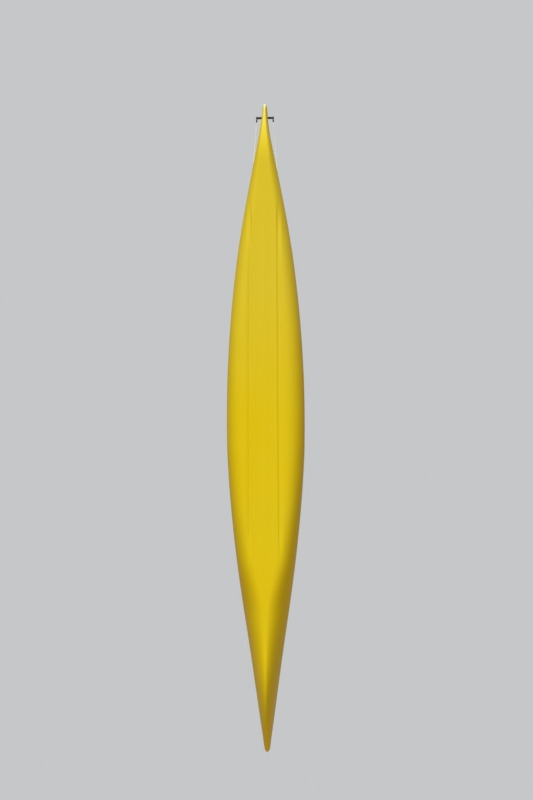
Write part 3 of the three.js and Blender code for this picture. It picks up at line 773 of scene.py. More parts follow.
def deck_with_hole(h, a0, a1, along=70, rings=16):
    """A stretch of deck round an oval hole: each row runs from the oval out to the stretch's own outline.

    Along a row, the distance from the bow and the angle whose sine is the share of the half beam go in step,
    crowded towards the hole by a power.
    """
    ahead = np.linspace(a0, a1, along)[1:-1]
    out_a = np.concatenate([np.full(len(ACROSS), a0), ahead, np.full(len(ACROSS), a1), ahead[::-1]])
    edge = np.ones(len(ahead))
    out_s = np.concatenate([ACROSS, edge, ACROSS[::-1], -edge])
    angle = np.arctan2(out_s, ((a0 + a1) / 2 - out_a) / ((a1 - a0) / 2))
    x, y = oval_at(h, angle, HOLE_GAP)
    in_a = BOW_X - x
    in_k, out_k = np.arcsin(np.clip(y / beam(in_a), -1, 1)), np.arcsin(out_s)
    r = np.linspace(0, 1, rings)[None] ** HOLE_CROWDING
    aa = in_a[:, None] * (1 - r) + out_a[:, None] * r
    kk = in_k[:, None] * (1 - r) + out_k[:, None] * r
    return grid(on_deck(aa, beam(aa) * np.sin(kk)), closed_u=True)


def deck_skin():
    """The deck: plain bands between the stretches round its openings, with a wall under them."""
    openings = dict(HATCHES, cockpit=COCKPIT)
    at = stations(DECK_RINGS)
    shapes = []
    last = 0.0
    for name, (a0, a1) in STRETCHES.items():
        inner = at[(at > last + BAND_GAP) & (at < a0 - BAND_GAP)]
        shapes.append(deck_band(np.concatenate([[last], inner, [a0]])))
        shapes.append(deck_with_hole(openings[name], a0, a1))
        last = a1
    shapes.append(deck_band(np.concatenate([[last], at[at > last + BAND_GAP]])))
    return thickened(piece("deck_skin", *shapes, weld=2e-5), DECK_THICK, -1.0)


place(deck_skin(), "hull", yellow, "deck_shell", slot="hull_plastic")


def sheer_bead():
    """The moulding's parting line: a slim round bead along each sheer from tip to tip."""
    out = 0.0002
    a = stations(240)[4:-4]
    profile = ring_profile(0.0016, 0.0028, 2.4, 8)
    paths = [np.stack([BOW_X - a, sign * (beam(a) + out), sheer(a) + out], -1) for _, sign in SIDES]
    return piece("sheer_bead", *(sweep(path, profile) for path in paths))


place(sheer_bead(), "hull", yellow, slot="hull_plastic")

# Openings' rims. Columns: millimetres out from the hole, share of the rim over the deck, millimetres up
COAMING = [
    (-6, 0, -13), (-6, 0, -2), (-6, 1, -12), (-5.5, 1, -4), (-3, 1, -0.3), (0, 1, 0), (9, 1, 0),
    (17, 1, -0.2), (21, 1, -1.5), (22.3, 1, -4.5), (21, 1, -7.4), (18, 1, -7), (14, 1, -5.6), (6, 1, -6.2),
    (1.6, 1, -8.5), (0.4, 1, -14), (0.4, 0, 10), (1.6, 0, 4.5), (6, 0, 2.4), (13, 0, 1.6), (15.5, 0, 0.6),
    (15.5, 0, -1.5), (3, 0, -1.5), (-0.6, 0, -4), (-1.2, 0, -13),
]
HATCH_RIM = [
    (-5, 0, -9), (-5, 0, 0), (-5, 1, -4), (-4.6, 1, -0.6), (-3, 1, 0), (4, 1, 0), (11, 1, -0.2),
    (13.8, 1, -1), (13.8, 1, -3.4), (11, 1, -4), (4, 1, -4.4), (1, 1, -6), (0.5, 1, -9), (0.5, 0, 6),
    (1.6, 0, 3), (5, 0, 1.8), (16, 0, 1.4), (18.5, 0, 0.5), (18.5, 0, -1.2), (2, 0, -1.2), (-0.8, 0, -4),
    (-0.8, 0, -9),
]
# A lid from its middle out and back under it. Columns: share of the way out, millimetres over the rim
LID = [
    (0.0, 9.0), (0.20, 8.9), (0.40, 8.4), (0.52, 7.8), (0.60, 7.0), (0.64, 5.6), (0.66, 3.8), (0.69, 3.1),
    (0.78, 3.0), (0.83, 3.2), (0.85, 4.6), (0.875, 6.6), (0.91, 7.3), (0.95, 6.9), (0.98, 5.2),
    (0.997, 2.8), (1.0, 0.4), (0.996, -2.2), (0.985, -3.0), (0.972, -2.4), (0.966, 0.2), (0.90, 0.9),
    (0.5, 0.9), (0.0, 0.9),
]
LID_OVERHANG = 0.023
# A lid's tab: where it starts behind the hole, and its line from there: metres back, metres over the rim
TAB_START = 0.012
TAB_LINE = ((0, 0.0045), (0.010, 0.0052), (0.019, 0.003))
TAB_HALF_Y, TAB_HALF_Z, TAB_STEPS = 0.014, 0.0022, 12
COAMING_STEPS, HATCH_STEPS = 200, 120


def coaming_top(x):
    """Height of the coaming's top, which slopes evenly down from its front to its rear."""
    front = BOW_X - COCKPIT["a"] + COCKPIT["rx"]
    slope = (COCKPIT["front"] - COCKPIT["rear"]) / (2 * COCKPIT["rx"])
    return COCKPIT["front"] - (front - x) * slope


def round_opening(h, profile, top_at, steps):
    """A rim's profile carried round an opening's oval, its corners cut first so that it is round."""
    rows = chaikin(np.array(profile) * (MM, 1, MM))
    theta, k = np.meshgrid(circle_steps(steps), np.arange(len(rows)), indexing="ij")
    x, y = oval_at(h, theta, rows[k, 0])
    share = rows[k, 1]
    z = share * top_at(x) + (1 - share) * deck_z(BOW_X - x, y) + rows[k, 2]
    return grid(np.stack([x, y, z], -1), closed_u=True, closed_v=True)


def hatch_lid(h):
    """A rubber lid over an oval.

    A shallow dome, a flat channel round it and a fat bead at the edge, and under it a flat face and a skirt.
    """
    rows = chaikin(np.array(LID), closed=False)
    theta, k = np.meshgrid(circle_steps(HATCH_STEPS), np.arange(len(rows)), indexing="ij")
    x = BOW_X - h["a"] + (h["rx"] + LID_OVERHANG) * rows[k, 0] * np.cos(theta)
    y = (h["ry"] + LID_OVERHANG) * rows[k, 0] * np.sin(theta)
    return grid(np.stack([x, y, h["top"] + rows[k, 1] / 1000], -1), closed_u=True)


def lid_tab(h):
    """A thumb tab at the lid's after end: a flat tongue with rounded sides that runs out from the bead."""
    x = BOW_X - h["a"] - h["rx"] - TAB_START
    path = eased([(x - back, 0, h["top"] + up) for back, up in TAB_LINE], TAB_STEPS)
    size = np.sqrt(np.clip(1 - np.linspace(0, 0.96, TAB_STEPS) ** 4, 0, 1))
    return sweep(path, ring_profile(TAB_HALF_Y, TAB_HALF_Z, 3.5, 20), scale=size)


coaming = piece("coaming", round_opening(COCKPIT, COAMING, coaming_top, COAMING_STEPS))
place(coaming, "hull", black, "cockpit_coaming", slot="coaming_plastic")
for name, h in HATCHES.items():
    ring = round_opening(h, HATCH_RIM, lambda x, top=h["top"]: np.full_like(x, top), HATCH_STEPS)
    place(piece(name + "_rim", ring), "hull", black, name + "_hatch_rim", slot="fitting_plastic")
    lid = piece(name + "_lid", hatch_lid(h))
    place(lid, name + "_lid", rubber, name + "_hatch_lid", slot="lid_rubber")
    place(piece(name + "_lid_tab", lid_tab(h)), name + "_lid", rubber, slot="lid_rubber")

# Seat
PAN = dict(floor=0.0062, front_lip=0.014, back_lip=0.026, side_rise=0.084, side_power=2.6, corner_pull=0.06)
PAN_RIM = dict(across=0.93, along=0.94, rise=0.003)
CHEEK = dict(
    a=2.768, y=0.1815, z=0.165, half=(0.082, 0.0032, 0.098), foot_z=0.067, rise=0.196,
    foot_size=1.18, narrowing=0.22, foot_ahead=0.012, bowing=0.002,
)


def seat_z(a, y):
    """The pan's underside: a lip at the front and back over a trough that curves up to the sides."""
    t = (a - SEAT["front"]) / (SEAT["back"] - SEAT["front"])
    lip = PAN["front_lip"] * (1 - smooth(t * 4)) + PAN["back_lip"] * smooth((t - 0.75) * 4)
    return PAN["floor"] + lip + PAN["side_rise"] * (np.abs(y) / SEAT["half"]) ** PAN["side_power"]


def past(u, start):
    """How far a share has gone from a start to one, held between 0 and 1."""
    return np.clip((np.abs(u) - start) / (1 - start), 0, 1)


def seat_pan():
    """The pan as one thin tray whose rim rolls over: a grid across and along the boat, thickened upward."""
    cc, ll = np.meshgrid(np.linspace(-1, 1, 61), np.linspace(0, 1, 41), indexing="ij")
    lengthwise = 2 * ll - 1
    a = SEAT["front"] + (SEAT["back"] - SEAT["front"]) * ll
    y = SEAT["half"] * cc * (1 - PAN["corner_pull"] * lengthwise ** 6)
    rim = np.minimum(past(cc, PAN_RIM["across"]) + past(lengthwise, PAN_RIM["along"]), 1)
    z = seat_z(a, y) + PAN_RIM["rise"] * rim ** 2
    tray = facing_up(piece("seat_tray", grid(np.stack([BOW_X - a, y, z], -1))))
    return thickened(tray, SEAT["skin"], 1.0)


def cheek(sign):
    """A seat cheek: a rounded plate from the tray's side up to the coaming.

    It is longer and further ahead at its foot, and bowed in a little halfway up.
    """
    centre = (BOW_X - CHEEK["a"], sign * CHEEK["y"], CHEEK["z"])
    p, faces = block(centre, CHEEK["half"], 7.0, 26)
    k = (p[:, 2] - CHEEK["foot_z"]) / CHEEK["rise"]
    size = CHEEK["foot_size"] - CHEEK["narrowing"] * k
    x = centre[0] + (p[:, 0] - centre[0]) * size + CHEEK["foot_ahead"] * (1 - k)
    y = p[:, 1] - sign * CHEEK["bowing"] * np.sin(np.pi * k)
    return np.stack([x, y, p[:, 2]], -1), faces


place(seat_pan(), "hull", seat_plastic, "seat_pan", slot="seat_plastic")
place(piece("seat_cheeks", cheek(1), cheek(-1)), "hull", seat_plastic, slot="seat_plastic")

# Stuffed pieces
STUFFING = dict(pressure=4.0, frames=20, most=0.005, smoothing=6)
# A distance at which a seam draws nothing in
NO_SEAM = 1.0


def applied(ob):
    """Turns a piece's modifiers into its own mesh."""
    view = bpy.context.evaluated_depsgraph_get()
    me = bpy.data.meshes.new_from_object(ob.evaluated_get(view))
    ob.modifiers.clear()
    ob.data = me


def read_points(me, what="co"):
    """The places of a mesh's vertices, or their normals, one row each."""
    values = np.zeros(len(me.vertices) * 3)
    me.vertices.foreach_get(what, values)
    return values.reshape(-1, 3)


def puff(ob, voxel):
    """Swells a closed form as a stuffed cover does.

    An even mesh, some frames of cloth under pressure, no point moved further than the most, and a smoothing.
    """
    even = ob.modifiers.new("even", "REMESH")
    even.mode = "VOXEL"
    even.voxel_size = voxel
    applied(ob)
    rest = read_points(ob.data)
    cover = ob.modifiers.new("cover", "CLOTH")
    cover.settings.use_pressure = True
    cover.settings.uniform_pressure_force = STUFFING["pressure"]
    cover.settings.effector_weights.gravity = 0.0
    scene = bpy.context.scene
    for step in range(STUFFING["frames"]):
        scene.frame_set(step + 1)
    view = bpy.context.evaluated_depsgraph_get()
    moved = read_points(ob.evaluated_get(view).data) - rest
    ob.modifiers.clear()
    scene.frame_set(1)
    far = np.maximum(np.linalg.norm(moved, axis=1, keepdims=True), 1e-9)
    rest = rest + moved * np.minimum(1, STUFFING["most"] / far)
    ob.data.vertices.foreach_set("co", rest.ravel())
    ob.data.update()
    ob.modifiers.new("soft", "SMOOTH").iterations = STUFFING["smoothing"]
    applied(ob)
    return ob


def sewn(ob, distances, depth, width):
    """Draws the cover in along its seams: each point goes in along its normal by how near a seam it is."""
    me = ob.data
    co = read_points(me)
    near = np.max([np.exp(-((d(co)) / width) ** 2) for d in distances], axis=0)
    me.vertices.foreach_set("co", (co - read_points(me, "normal") * (depth * near)[:, None]).ravel())
    me.update()
    me.polygons.foreach_set("use_smooth", [True] * len(me.polygons))
    finer = ob.modifiers.new("finer", "SUBSURF")
    finer.levels = finer.render_levels = 1
    return ob


PAD = dict(
    a=2.757, half_a=0.146, half_y=0.137, round_off=0.12, lift=0.0008, edge=0.0060, crown=0.0062, voxel=0.004,
)
# The pad's seams lie across its top, over this height, as distances ahead of its middle
PAD_SEAMS, PAD_TOPSIDE = (-0.075, 0.0, 0.075), 0.014
PAD_SEAM_DEPTH, PAD_SEAM_WIDTH = 0.003, 0.0045


def seat_cushion():
    """The seat pad: a thin crowned slab that follows the tray, closed by an underside that lies on it."""
    cc, ll = np.meshgrid(np.linspace(-1, 1, 45), np.linspace(-1, 1, 45), indexing="ij")
    a = PAD["a"] + PAD["half_a"] * ll * np.sqrt(1 - cc ** 2 * PAD["round_off"])
    y = PAD["half_y"] * cc * np.sqrt(1 - ll ** 2 * PAD["round_off"])
    floor = seat_z(a, y) + SEAT["skin"] + PAD["lift"]
    crowned = PAD["edge"] + PAD["crown"] * ((1 - cc ** 6) * (1 - ll ** 6)) ** 0.5
    top = np.stack([BOW_X - a, y, floor + crowned], -1)
    under = np.stack([BOW_X - a, y, floor], -1)
    rims = [np.concatenate([p[:, 0], p[-1, 1:], p[-2::-1, -1], p[0, -2:0:-1]]) for p in (under, top)]
    slab = piece("seat_cushion", grid(top), grid(under), grid(np.stack(rims), closed_v=True))
    ob = puff(slab, PAD["voxel"])
    middle = BOW_X - PAD["a"]
    seams = [lambda p, k=k: np.where(p[:, 2] > PAD_TOPSIDE, p[:, 0] - middle - k, NO_SEAM) for k in PAD_SEAMS]
    return sewn(ob, seams, PAD_SEAM_DEPTH, PAD_SEAM_WIDTH)


BAND = dict(
    a=2.9465, sweep=0.110, reach=0.1777, half_y=0.1745, z=0.190, drop=0.013, half_z=0.060, lower=0.026,
    half_x=0.0115, slimmer=0.55, voxel=0.005,
)
# The band's upright seams, as distances from the middle, and the one along it
BAND_SEAMS = (-0.105, -0.035, 0.035, 0.105)
LONG_SEAM = dict(z=0.150, reach=0.150)
BAND_SEAM_DEPTH, BAND_SEAM_WIDTH = 0.0032, 0.0042


def back_band():
    """The backrest: a padded band, taller in its middle, whose section is a fat rounded rectangle.

    It runs straight across behind the paddler, with its ends swept forward, lower and slimmer.
    """
    y = np.linspace(-BAND["half_y"], BAND["half_y"], 61)
    k = np.abs(y) / BAND["reach"]
    x = BOW_X - (BAND["a"] - BAND["sweep"] * k ** 2)
    half_x = BAND["half_x"] * (1 - k ** 6 * BAND["slimmer"])
    z = BAND["z"] - BAND["drop"] * k ** 2
    half_z = BAND["half_z"] - BAND["lower"] * k ** 2
    band = loft(y, x, half_x, z, half_z, ring_profile(1.0, 1.0, 3.4, 28), along="y")
    ob = puff(piece("back_band", band), BAND["voxel"])
    seams = [lambda p, k=k: p[:, 1] - k for k in BAND_SEAMS]
    seams.append(lambda p: np.where(np.abs(p[:, 1]) < LONG_SEAM["reach"], p[:, 2] - LONG_SEAM["z"], NO_SEAM))
    return sewn(ob, seams, BAND_SEAM_DEPTH, BAND_SEAM_WIDTH)


cushion = place(seat_cushion(), "hull", fabric, "seat_pad", slot="seat_fabric")
band = place(back_band(), "hull", fabric, "backrest", slot="seat_fabric")

# The backrest's straps: their line as distances from the bow tip and heights
STRAP_Y, STRAP_HALF_Y, STRAP_HALF_Z = 0.1735, 0.0009, 0.0115
STRAP_LINE = ((2.858, 0.186), (2.80, 0.196), (2.70, 0.214))
BUCKLE = dict(a=2.722, z=0.2105)
# A buckle's frame and its bar: half sizes, distance in from the strap, power, steps
BUCKLE_BLOCKS = (((0.017, 0.0040, 0.0165), 0.002, 6.0, 14), ((0.004, 0.0022, 0.0135), 0.0065, 4.0, 10))


def back_straps():
    """Webbing from each end of the back band forward along the cheek, with a ladder buckle on each."""
    straps, buckles = [], []
    for _, sign in SIDES:
        path = eased([(BOW_X - a, sign * STRAP_Y, z) for a, z in STRAP_LINE], 24)
        straps.append(sweep(path, ring_profile(STRAP_HALF_Y, STRAP_HALF_Z, 6.0, 12)))
        for half, inward, power, steps in BUCKLE_BLOCKS:
            centre = (BOW_X - BUCKLE["a"], sign * (STRAP_Y - inward), BUCKLE["z"])
            buckles.append(block(centre, half, power, steps))
    return straps, buckles


straps, buckles = back_straps()
place(piece("back_straps", *straps), "hull", webbing, slot="seat_fabric")
place(piece("strap_buckles", *buckles), "hull", black, slot="fitting_plastic")

# Thigh braces: their two ends ahead of the cockpit's middle, on a circle of this radius, and their edges from
# the coaming's oval
BRACE = dict(
    ahead=0.305, behind=0.110, radius=0.40, inner=-0.062, outer=-0.0065, below=0.0265, half_z=0.0048,
    slimmest=0.72, droop=0.010,
)
BRACE_STEPS = 34


def thigh_brace(sign):
    """A thigh brace: a lip-shaped section that runs under the coaming along its oval, thinner at both ends.

    Across: from the coaming's wall inward, drooping at its inner edge, with round edges all round.
    """
    ahead, behind = BRACE["ahead"] / BRACE["radius"], BRACE["behind"] / BRACE["radius"]
    theta = np.linspace(np.arccos(ahead), np.arccos(behind), BRACE_STEPS)
    size = np.sqrt(np.clip(1 - np.linspace(-1, 1, BRACE_STEPS) ** 6, 0.02, 1))
    profile = ring_profile(1.0, 1.0, 3.0, 24)
    inner, outer = BRACE["inner"], BRACE["outer"]
    mid, half = (inner + outer) / 2, (outer - inner) / 2
    grow = mid + half * profile[None, :, 0] * (BRACE["slimmest"] + (1 - BRACE["slimmest"]) * size[:, None])
    x, y = oval_at(COCKPIT, np.broadcast_to(theta[:, None], grow.shape), grow)
    droop = BRACE["droop"] * np.clip((outer - grow) / (outer - inner), 0, 1) ** 2
    z = coaming_top(x) - BRACE["below"] - droop + BRACE["half_z"] * profile[None, :, 1] * size[:, None]
    return capped(np.stack([x, sign * y, z], -1))


for side_name, sign in SIDES:
    brace = piece("brace_" + side_name, thigh_brace(sign))
    place(brace, "hull", rubber, "thigh_brace_" + side_name, slot="seat_plastic")

# Foot rails and pedals. The track's section: millimetres across and up
TRACK = np.array([(-6, -12), (6, -12), (6, 12), (-6, 12), (-6, 7), (-2.5, 7), (-2.5, -7), (-6, -7)]) / 1000.0
# A pedal's blocks: distance from the bow tip, distance from the middle, height, half sizes, power, steps
PEDAL_PLATE = (1.806, 0.197, 0.124, (0.0055, 0.036, 0.060), 5.0, 22)
PEDAL_BARS = [(1.8118, 0.197, 0.084 + 0.020 * k, (0.0022, 0.029, 0.0035), 4.0, 10) for k in range(5)]
PEDAL_SLIDER = (1.800, 0.2335, 0.117, (0.020, 0.0085, 0.010), 5.0, 12)


def rail(sign):
    """A foot rail: a C-shaped track whose open side faces in, carried along the hull's inside."""
    a = np.linspace(RAIL["front"], RAIL["back"], 60)
    z = np.full_like(a, RAIL["z"])
    path = np.stack([BOW_X - a, sign * (side_y(a, z, WALL) - RAIL["inset"]), z], -1)
    return sweep(path, TRACK * (-sign, 1))


def pedal(sign):
    """A foot pedal: a rounded plate, raised bars on its face for the foot, and a slider on the rail."""
    parts = (PEDAL_PLATE, *PEDAL_BARS, PEDAL_SLIDER)
    return [block((BOW_X - a, sign * y, z), half, power, steps) for a, y, z, half, power, steps in parts]


for side_name, sign in SIDES:
    place(piece("rail_" + side_name, rail(sign)), "hull", alloy, "foot_rail_" + side_name, slot="rail_metal")
    foot = piece("pedal_" + side_name, *pedal(sign))
    place(foot, "hull", black, "foot_pedal_" + side_name, slot="fitting_plastic")

# Carrying handles: where each starts and ends, as distances from the bow tip
HANDLES = {"bow": (0.290, 0.430), "stern": (4.400, 4.540)}
GRIP_RISE = 0.0333
# A handle's line at each foot: distance in from its end, share of the far end's height, metres over the deck
HANDLE_FOOT = ((0.001, 0.0, 0.0046), (0.016, 0.3, 0.0062))
# The same where it arches up: distance in from its end, metres under the grip's top
HANDLE_ARCH = ((0.0255, 0.013), (0.036, 0.0005))
# The strap's half sizes at the grip, its share of them elsewhere, the grip's share of the handle's length,
# and the length over which it thickens
HANDLE_STRAP = dict(half_y=0.0118, half_z=0.0046, slim=0.82, grip=0.62, ease=0.012)
HANDLE_SCREW = dict(inward=0.009, up=0.0044, radius=0.0045)


def handle(a0, a1):
    """A carrying handle: flat feet on the deck, and a strap that arches over a finger gap to a grip."""
    mid, half = (a0 + a1) / 2, (a1 - a0) / 2
    heights = [float(deck_z(np.array(a), 0.0)) for a in (a0, mid, a1)]
    top = max(heights) + GRIP_RISE

    def half_line(end, inward, near, far):
        feet = [(end + inward * d, near * (1 - share) + far * share + up) for d, share, up in HANDLE_FOOT]
        return feet + [(end + inward * d, top - down) for d, down in HANDLE_ARCH]

    rows = half_line(a0, 1, heights[0], heights[2]) + [(mid, top)]
    rows += half_line(a1, -1, heights[2], heights[0])[::-1]
    path = eased([(BOW_X - a, 0, z) for a, z in rows], 70)
    into_grip = half * HANDLE_STRAP["grip"] - np.abs(path[:, 0] - (BOW_X - mid))
    size = HANDLE_STRAP["slim"] + (1 - HANDLE_STRAP["slim"]) * smooth(into_grip / HANDLE_STRAP["ease"])
    strap = sweep(path, ring_profile(HANDLE_STRAP["half_y"], HANDLE_STRAP["half_z"], 3.2, 24), scale=size)
    ends = ((a0 + HANDLE_SCREW["inward"], rows[0][1]), (a1 - HANDLE_SCREW["inward"], rows[-1][1]))
    screw_places = [(BOW_X - a, 0, z + HANDLE_SCREW["up"]) for a, z in ends]
    return strap, [screw(at, UPRIGHT, HANDLE_SCREW["radius"]) for at in screw_places]


bolt_heads = []
for name, (a0, a1) in HANDLES.items():
    strap, screws = handle(a0, a1)
    bolt_heads += screws
    place(piece(name + "_grip", strap), "hull", black, name + "_handle", slot="fitting_plastic")

# Pad eyes. Deck line eyes: distance from the bow tip, and how far in from the deck's edge
EYES = [
    (0.52, 0.016), (0.80, 0.013), (1.22, 0.030), (1.62, 0.030), (2.06, 0.040), (3.20, 0.040), (3.98, 0.036),
    (4.32, 0.026),
]
# Number of deck line eyes ahead of the cockpit
FORE_EYES = 5
# Bungee eyes: distance from the bow tip, and distance from the middle
BUNGEE_EYES = [(1.64, 0.100), (1.84, 0.150), (2.04, 0.115), (3.18, 0.130), (3.33, 0.115)]
EYE_BASE = dict(half=(0.017, 0.0072, 0.0018), up=0.0012)
EYE_RING = dict(radius=0.0072, height=0.0078, up=0.0022, wire=0.0019)
EYE_SCREW = dict(along=0.0125, up=0.0032, radius=0.0027, height=0.0014)


def deck_axes(a, y, step=0.004, long_step=0.01):
    """The deck's own directions at a place, from points a step away: along it, across it, and out of it."""
    along = on_deck(a + step, y) - on_deck(a - step, y)
    across = on_deck(a, y + step) - on_deck(a, y - step)
    out = unit(np.cross(along, across))
    out = out * np.sign(out[2])
    along = unit(on_deck(a - long_step, y) - on_deck(a + long_step, y))
    return np.stack([along, np.cross(out, along), out])


def pad_eye(a, y):
    """A pad eye: a flat base that follows the deck, a half ring over it, and a screw each side of it."""
    centre, axes = on_deck(a, y), deck_axes(a, y)
    base_co, base_faces = block((0, 0, EYE_BASE["up"]), EYE_BASE["half"], 4.0, 12)
    t = np.linspace(-0.12, 1.12, 19) * np.pi
    height = EYE_RING["up"] + EYE_RING["height"] * np.sin(t)
    arch = np.stack([EYE_RING["radius"] * np.cos(t), np.zeros_like(t), height], -1)
    ring = tube(centre + arch @ axes, EYE_RING["wire"], 8, up=axes[1])
    screws = []
    for k in (-EYE_SCREW["along"], EYE_SCREW["along"]):
        at = centre + axes[0] * k + axes[2] * EYE_SCREW["up"]
        screws.append(screw(at, axes[2], EYE_SCREW["radius"], EYE_SCREW["height"]))
    return [(centre + base_co @ axes, base_faces), ring], screws


def line_eye(k, sign):
    """Place of a deck line eye: distance from the bow tip, and distance to port."""
    a, inset = EYES[k]
    return a, sign * (float(beam(a)) - inset)


eye_places = [line_eye(k, sign) for k in range(len(EYES)) for _, sign in SIDES]
eye_places += [(a, sign * y) for a, y in BUNGEE_EYES for _, sign in SIDES]
eyes = []
for a, y in eye_places:
    shapes, screws = pad_eye(a, y)
    eyes += shapes
    bolt_heads += screws
place(piece("pad_eyes", *eyes), "hull", black, slot="fitting_plastic")

# Deck lines and bungees
LINE_RADIUS, CORD_RADIUS = 0.0025, 0.003
# How far a line rises to its eye, how far a short one does, and how far a cord rises over one that it crosses
LINE_RISE, SHORT_RISE, CORD_OVER = 0.0055, 0.005, 0.0063
# How far a line bows outward midway, and how far it keeps off the deck
LINE_BOW, LINE_OFF = 0.004, 0.0004
# Share of a line's length that its rise takes at each end, and that its hump takes each side of the crossing
RISE_SHARE, HUMP_SHARE = 0.04, 0.045
# Where the deck lines end at each handle: distance from the bow tip, distance from the middle
BOW_TIE, STERN_TIE = (0.425, 0.006), (4.405, 0.006)


def laid_line(points, radius, lift, steps=60, hump=0.0):
    """A taut line over the deck, straight in plan between its points.

    It lies a radius over the deck and is lifted at both ends and, where it crosses another, by a hump midway.
    """
    p = np.asarray(points, float)
    d = run_length(p)
    at = np.linspace(0, d[-1], steps)
    a, y = np.interp(at, d, p[:, 0]), np.interp(at, d, p[:, 1])
    k = at / d[-1]
    rise = lift * (1 - smooth(k / RISE_SHARE) * smooth((1 - k) / RISE_SHARE))
    rise = rise + hump * np.exp(-((k - 0.5) / HUMP_SHARE) ** 2)
    return tube(on_deck(a, y, radius + LINE_OFF + rise), radius, 9)


def deck_lines():
    """Perimeter lines: from eye to eye along each side, from the bow handle to the cockpit, and aft of it."""
    shapes = []
    for _, sign in SIDES:
        at = [line_eye(k, sign) for k in range(len(EYES))]
        for run in (at[:FORE_EYES], at[FORE_EYES:]):
            for (a0, y0), (a1, y1) in zip(run[:-1], run[1:]):
                middle = ((a0 + a1) / 2, (y0 + y1) / 2 + sign * LINE_BOW)
                shapes.append(laid_line([(a0, y0), middle, (a1, y1)], LINE_RADIUS, LINE_RISE))
        bow_tie, stern_tie = ((a, sign * y) for a, y in (BOW_TIE, STERN_TIE))
        shapes.append(laid_line([bow_tie, at[0]], LINE_RADIUS, SHORT_RISE, 24))
        shapes.append(laid_line([at[-1], stern_tie], LINE_RADIUS, SHORT_RISE, 24))
    return shapes


def bungees():
    """Shock cord crossings ahead of the cockpit and behind it, with short straight runs across."""
    shapes = []
    for first, second in ((0, 1), (1, 2), (3, 4)):
        (a0, y0), (a1, y1) = BUNGEE_EYES[first], BUNGEE_EYES[second]
        shapes.append(laid_line([(a0, y0), (a1, -y1)], CORD_RADIUS, SHORT_RISE, 80))
        shapes.append(laid_line([(a0, -y0), (a1, y1)], CORD_RADIUS, SHORT_RISE, 80, CORD_OVER))
    for a, y in (BUNGEE_EYES[2], BUNGEE_EYES[0]):
        shapes.append(laid_line([(a, y), (a, -y)], CORD_RADIUS, SHORT_RISE))
    return shapes


place(piece("deck_lines", *deck_lines()), "hull", line_weave, slot="fitting_plastic")
place(piece("bungees", *bungees()), "hull", line_weave, slot="fitting_plastic")

# Rudder bracket. Its boss: distance from the steering pin's axis, height
BRACKET = dict(
    start=0.008, stop=0.170, sunk=0.001, top=0.2828, half_y=0.0105, swell=0.0045, swell_length=0.018,
)
BOSS = [
    (0.0056, 0.276), (0.0136, 0.276), (0.014, 0.2868), (0.0132, 0.2885), (0.0062, 0.2888), (0.0056, 0.2880),
]
BRACKET_BOLTS = dict(s=(0.028, 0.066, 0.152), z=0.2825, radius=0.0042)
HEAD_X = STERN_X + RUDDER["axis"]
HINGE_X = STERN_X + RUDDER["hinge"]


def bracket():
    """The rudder bracket: a wedge on the stern deck, with round sides and a boss for the steering pin."""
    s = np.linspace(BRACKET["start"], BRACKET["stop"], 50)
    mid, half = (BRACKET["start"] + BRACKET["stop"]) / 2, (BRACKET["stop"] - BRACKET["start"]) / 2
    near_pin = np.exp(-((s - RUDDER["axis"]) / BRACKET["swell_length"]) ** 2)
    low = deck_z(LENGTH - s, 0.0) - BRACKET["sunk"]
    high = low + (BRACKET["top"] - low) * np.clip(1 - np.abs((s - mid) / half) ** 10, 0.02, 1)
    half_y = BRACKET["half_y"] + BRACKET["swell"] * near_pin
    section = ring_profile(1.0, 1.0, 4.0, 28)
    wedge = loft(STERN_X + s, 0, half_y, (low + high) / 2, (high - low) / 2, section)
    boss = collar((HEAD_X, 0, 0), UPRIGHT, BOSS, 32)
    bolts = [(STERN_X + s0, 0, BRACKET_BOLTS["z"]) for s0 in BRACKET_BOLTS["s"]]
    return [wedge, boss], [screw(at, UPRIGHT, BRACKET_BOLTS["radius"]) for at in bolts]


shapes, screws = bracket()
bolt_heads += screws
place(piece("stern_bracket", *shapes), "hull", black, "rudder_bracket", slot="fitting_plastic")

# Rudder head. Turned parts: distance from their axis, height
HUB = [
    (0, 0.300), (0.009, 0.300), (0.0105, 0.2994), (0.0152, 0.2990), (0.016, 0.2980), (0.016, 0.2912),
    (0.0152, 0.2902), (0.005, 0.2902), (0.005, 0.2795), (0, 0.2790),
]
BAR_EYE = [
    (0, 0.3014), (0.0084, 0.3014), (0.0104, 0.2998), (0.0108, 0.2945), (0.0104, 0.2892), (0.0084, 0.2876),
    (0, 0.2876),
]
EYE_BOLT = [(0, 0.3030), (0.0034, 0.3030), (0.0050, 0.3020), (0.0050, 0.2870), (0.0034, 0.2860), (0, 0.2860)]
BAR_EYE_Y = 0.0655
# The hinge pin: distance from its axis, distance to port
HINGE_PIN = [
    (0, 0.0158), (0.0036, 0.0158), (0.0062, 0.0150), (0.0066, 0.0130), (0.004, 0.0130), (0.004, -0.0130),
    (0.0066, -0.0130), (0.0062, -0.0152), (0.0032, -0.0158), (0, -0.0158),
]
# A cheek's outline: X and height
HEAD_CHEEK = [
    (STERN_X + 0.062, 0.291), (STERN_X + 0.062, 0.299), (STERN_X + 0.030, 0.318), (HINGE_X + 0.020, 0.371),
    (HINGE_X + 0.004, 0.3745), (HINGE_X - 0.013, 0.3735), (HINGE_X - 0.0145, 0.354), (HINGE_X - 0.004, 0.330),
    (STERN_X + 0.003, 0.291),
]
HEAD_CHEEK_IN, HEAD_CHEEK_OUT = 0.0092, 0.0130
BAR = dict(half_x=0.0100, narrowing=0.0022, half_z=0.0044, round_from=0.9, end_z=0.6)
HEAD_BASE = dict(x=STERN_X + 0.047, half=(0.043, 0.0128, 0.0044))


